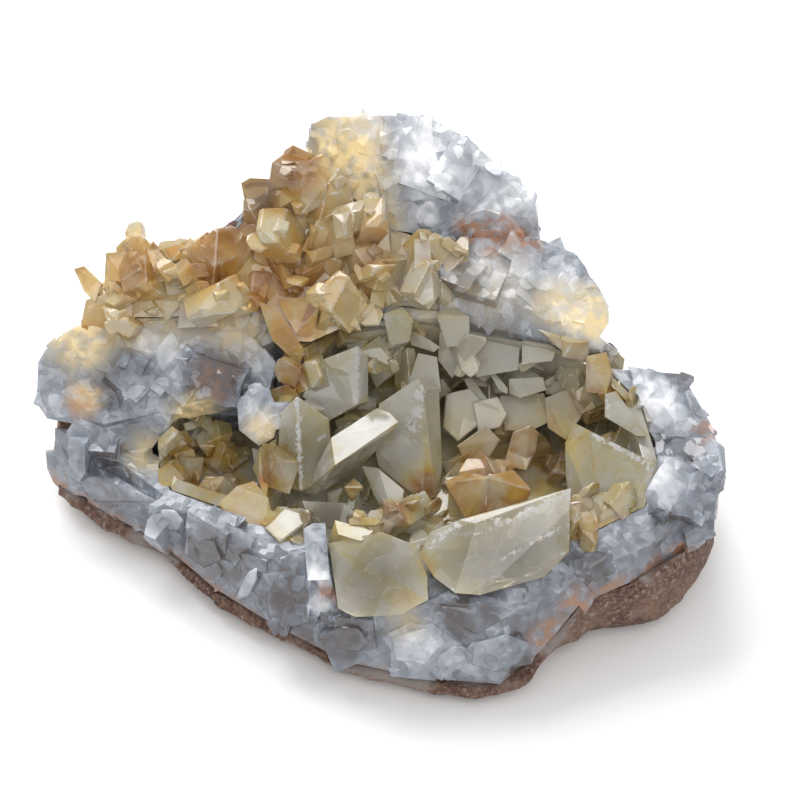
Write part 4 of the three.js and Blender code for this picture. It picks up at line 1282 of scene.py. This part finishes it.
# The large stained crystals.
stainedNamed = {
    "amberColumn": crystal(
        9, (367, 210, 64), (388, 221, 62), (394, 300, 48), (378, 290, 50), (364, 236, 60), stain=0.8
    ),
    "greenFace": crystal(
        9, (391, 232, 60), (413, 243, 58), (416, 302, 47), (391, 309, 45), (386, 265, 53), stain=-0.3
    ),
    # The white given to topBlade is a painted highlight.
    "topBlade": crystal(
        9, (414, 239, 62), (430, 239, 62), (434, 300, 54), (423, 305, 53), (415, 300, 54), stain=-1.0,
        frost=0.4
    ),
    "greyFace": crystal(
        9, (431, 248, 59), (461, 250, 58), (469, 290, 51), (464, 311, 46), (433, 309, 46), stain=-0.9
    ),
    "squarePlate": crystal(
        8, (324, 211, 65), (364, 211, 65), (366, 242, 58), (338, 243, 57), (326, 235, 59), stain=0.3
    ),
    "pinkPlate": crystal(
        8, (338, 238, 60), (367, 236, 61), (380, 262, 56), (371, 275, 53), (343, 272, 53), stain=0.5
    ),
    "lowerPlate": crystal(
        9, (345, 280, 53), (362, 274, 55), (392, 274, 54), (390, 306, 47), (366, 309, 46), (350, 298, 48),
        stain=0.45
    ),
    "paleCrystal": crystal(
        9, (237, 234, 62), (249, 224, 64), (272, 225, 64), (289, 238, 62), (284, 249, 59), (265, 266, 55),
        (253, 271, 54), (239, 256, 57), stain=-1.2, frost=0.45
    ),
    "leftTip": crystal(
        6, (74, 269, 57), (84, 266, 57), (102, 283, 54), (95, 303, 50), (84, 291, 52), stain=0.35
    ),
    "amberBox": crystal(
        8, (106, 253, 60), (131, 251, 60), (128, 285, 54), (112, 305, 50), (104, 290, 52), stain=0.6
    ),
    "amberBlock": crystal(
        9, (129, 252, 61), (158, 250, 61), (168, 260, 59), (166, 280, 55), (148, 287, 53), (130, 275, 55),
        stain=0.6
    ),
    "thinTip": crystal(4, (121, 242, 62), (127, 241, 62), (139, 254, 60), (126, 256, 59), stain=0.85),
    "smallTip": crystal(4, (153, 241, 63), (146, 251, 61), (162, 250, 61), stain=0.85),
    "greyRidge": crystal(
        8, (179, 238, 61), (162, 249, 59), (190, 240, 61), (200, 252, 58), (170, 262, 57), stain=0.5
    ),
    "ridgeKnob": crystal(6, (214, 231, 62), (222, 230, 62), (232, 238, 61), (210, 242, 60), stain=0.8),
    "skyBlock": crystal(
        10, (241, 183, 71), (250, 178, 72), (289, 180, 72), (290, 207, 66), (262, 222, 63), (246, 207, 66)
    ),
    "brownKnob": crystal(
        9, (285, 150, 77), (293, 145, 78), (302, 152, 76), (318, 157, 75), (312, 182, 70), (272, 181, 71),
        stain=0.85
    ),
    "amberPlate": crystal(
        9, (291, 179, 73), (315, 184, 72), (332, 193, 70), (328, 214, 65), (300, 207, 67), stain=0.75
    ),
    "ridgeStep": crystal(
        9, (258, 209, 65), (292, 206, 66), (293, 226, 62), (262, 226, 61), (244, 226, 62), stain=0.75
    ),
    "hangingBlade": crystal(
        8, (277, 300, 51), (311, 296, 52), (320, 306, 50), (312, 340, 43), (296, 334, 45), stain=0.8
    ),
    "hangingPoint": crystal(
        8, (258, 300, 51), (280, 312, 49), (304, 350, 42), (300, 366, 38), (272, 340, 43), stain=0.55
    ),
    "amberTail": crystal(6, (206, 248, 60), (222, 243, 61), (216, 264, 57), (204, 282, 53), stain=0.85),
    "yellowEnd": crystal(
        10, (86, 300, 50), (110, 292, 52), (132, 300, 50), (132, 338, 44), (100, 350, 42), (80, 330, 45),
        stain=0.4
    ),
    "palePoint": crystal(
        8, (180, 304, 50), (194, 292, 52), (212, 304, 50), (218, 326, 46), (178, 328, 46), stain=0.2
    ),
}

# The small crystals between the large ones, in the hollow and on the stained walls.
cavityScatter = {
    "middling": scatterSize(0.007, 0.010, 0.015, 0.6, 0.8, 11),
    "small": scatterSize(0.0045, 0.006, 0.009, 0.6, 0.8, 12),
    "rim": scatterSize(0.004, 0.006, 0.010, 0.45, 0.8, 13),
}
stainedScatter = {
    "middling": scatterSize(0.0075, 0.010, 0.017, 0.66, 0.7, 21),
    "small": scatterSize(0.0055, 0.005, 0.009, 0.6, 0.8, 22),
}
# How far they keep from the large ones, and the height that they stay above, in metres.
cavityKeptOff = {"middling": (0.0035, 0.012), "small": (0.0022, 0.012), "rim": (0.0018, 0.034)}
stainedKeptOff = {"middling": (0.0005, 0.012), "small": (0.0005, 0.012)}
# Places that they leave open, so that the large ones show: pixel, height and radius in millimetres.
openPlaces = {"leftPrism": (292, 455, 28, 12), "greyPlate": (492, 338, 43, 8)}
lowestSlope = -0.3


def makeCrystals(node, name, material, named, recipes, keptOff, spots, seams):
    piece = mergedCopy(node, name)
    whole = namedCrystals(named)
    near = treeOf(whole.data)
    places = [(seen(u, v, height), size / 1000) for u, v, height, size in openPlaces.values()]
    crystals = shapeCollection(name + "Shapes", [tabularCrystal(seed) for seed in range(tabular["kinds"])])
    for seed, (size, recipe) in enumerate(recipes.items()):
        apart, lowest = keptOff[size]

        def isClear(point, normal):
            if normal.z < lowestSlope or point.z < lowest or near.find_nearest(point)[3] < apart:
                return False
            return all((point - middle).length > reach for middle, reach in places)

        joinShells(piece, scattered(ground(piece, isClear), crystals, material, recipe), seed)
    joinShells(piece, whole, namedSeed)
    cutToBox(piece, node)
    paint(piece, spots, seams)
    finish(piece, node, material)
    print(name, "made")


makeCrystals(
    "cavity_crystals", "cavityCrystals", clearMaterial,
    cavityNamed, cavityScatter, cavityKeptOff, cavitySpots, frostSeams
)
makeCrystals(
    "stained_crystals", "stainedCrystals", stainedMaterial,
    stainedNamed, stainedScatter, stainedKeptOff, stainedSpots, {}
)


# The rind: sandy lumps on its solid, and a crust as far from the celestite as the reach.
rind = {"edge": 0.0012, "smoothing": 0.5, "lumps": 60, "rise": 0.0016, "sunk": 0.3, "crustReach": 0.004}


# The node's solid as a fine even mesh.
def evenRind():
    piece = mergedCopy("host_rock", "hostRock")
    step = piece.modifiers.new("remesh", "REMESH")
    step.mode = "VOXEL"
    step.voxel_size = rind["edge"]
    smooth = piece.modifiers.new("smooth", "SMOOTH")
    smooth.factor = rind["smoothing"]
    smooth.iterations = 2
    settled(piece)
    piece.data.polygons.foreach_set("use_smooth", [True] * len(piece.data.polygons))
    return piece


# Every corner moves along its normal and stays inside the node's box.
def makeRock():
    piece = evenRind()
    low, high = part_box("host_rock")
    normals = [vertex.normal.copy() for vertex in piece.data.vertices]
    for vertex, normal in zip(piece.data.vertices, normals):
        lump = noise.fractal(vertex.co * rind["lumps"], 0.9, 2.1, 6)
        moved = vertex.co + normal * ((lump - rind["sunk"]) * rind["rise"])
        vertex.co = [min(max(x, a), b) for x, a, b in zip(moved, low, high)]
    celestite = treeOf(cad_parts["massive_celestite"].data)
    near = [1 - celestite.find_nearest(vertex.co)[3] / rind["crustReach"] for vertex in piece.data.vertices]
    writeValues(piece.data, "crust", near)
    finish(piece, "host_rock", rockMaterial)


makeRock()
print("rock made")


# The plain pale floor and the soft studio light.
stage = {"side": 4, "colour": (0.9, 0.9, 0.9, 1), "roughness": 0.7, "sky": 0.8}
lamps = {
    "high": {"at": Vector((-0.35, 0.8, 1.1)), "size": 0.9, "power": 16},
    "front": {"at": Vector((0.25, -0.85, 1.15)), "size": 0.9, "power": 5},
}


def makeFloor():
    side = stage["side"]
    floor = linked("floor", bpy.data.meshes.new("floor"))
    corners = [(-side, -side, 0), (side, -side, 0), (side, side, 0), (-side, side, 0)]
    floor.data.from_pydata(corners, [], [(0, 1, 2, 3)])
    material, _, shader, _ = newMaterial("paleFloor")
    shader.inputs["Base Color"].default_value = stage["colour"]
    shader.inputs["Roughness"].default_value = stage["roughness"]
    floor.data.materials.append(material)


def makeLights():
    world = bpy.data.worlds.new("studio")
    world.use_nodes = True
    world.node_tree.nodes["Background"].inputs["Color"].default_value = (1, 1, 1, 1)
    world.node_tree.nodes["Background"].inputs["Strength"].default_value = stage["sky"]
    bpy.context.scene.world = world
    for name, lamp in lamps.items():
        data = bpy.data.lights.new(name, "AREA")
        data.size = lamp["size"]
        data.energy = lamp["power"]
        light = bpy.data.objects.new(name, data)
        light.location = lamp["at"]
        light.rotation_euler = (view["target"] - lamp["at"]).to_track_quat("-Z", "Y").to_euler()
        bpy.context.scene.collection.objects.link(light)


makeFloor()
makeLights()
bpy.context.scene.view_settings.view_transform = "Standard"
print("stage made")
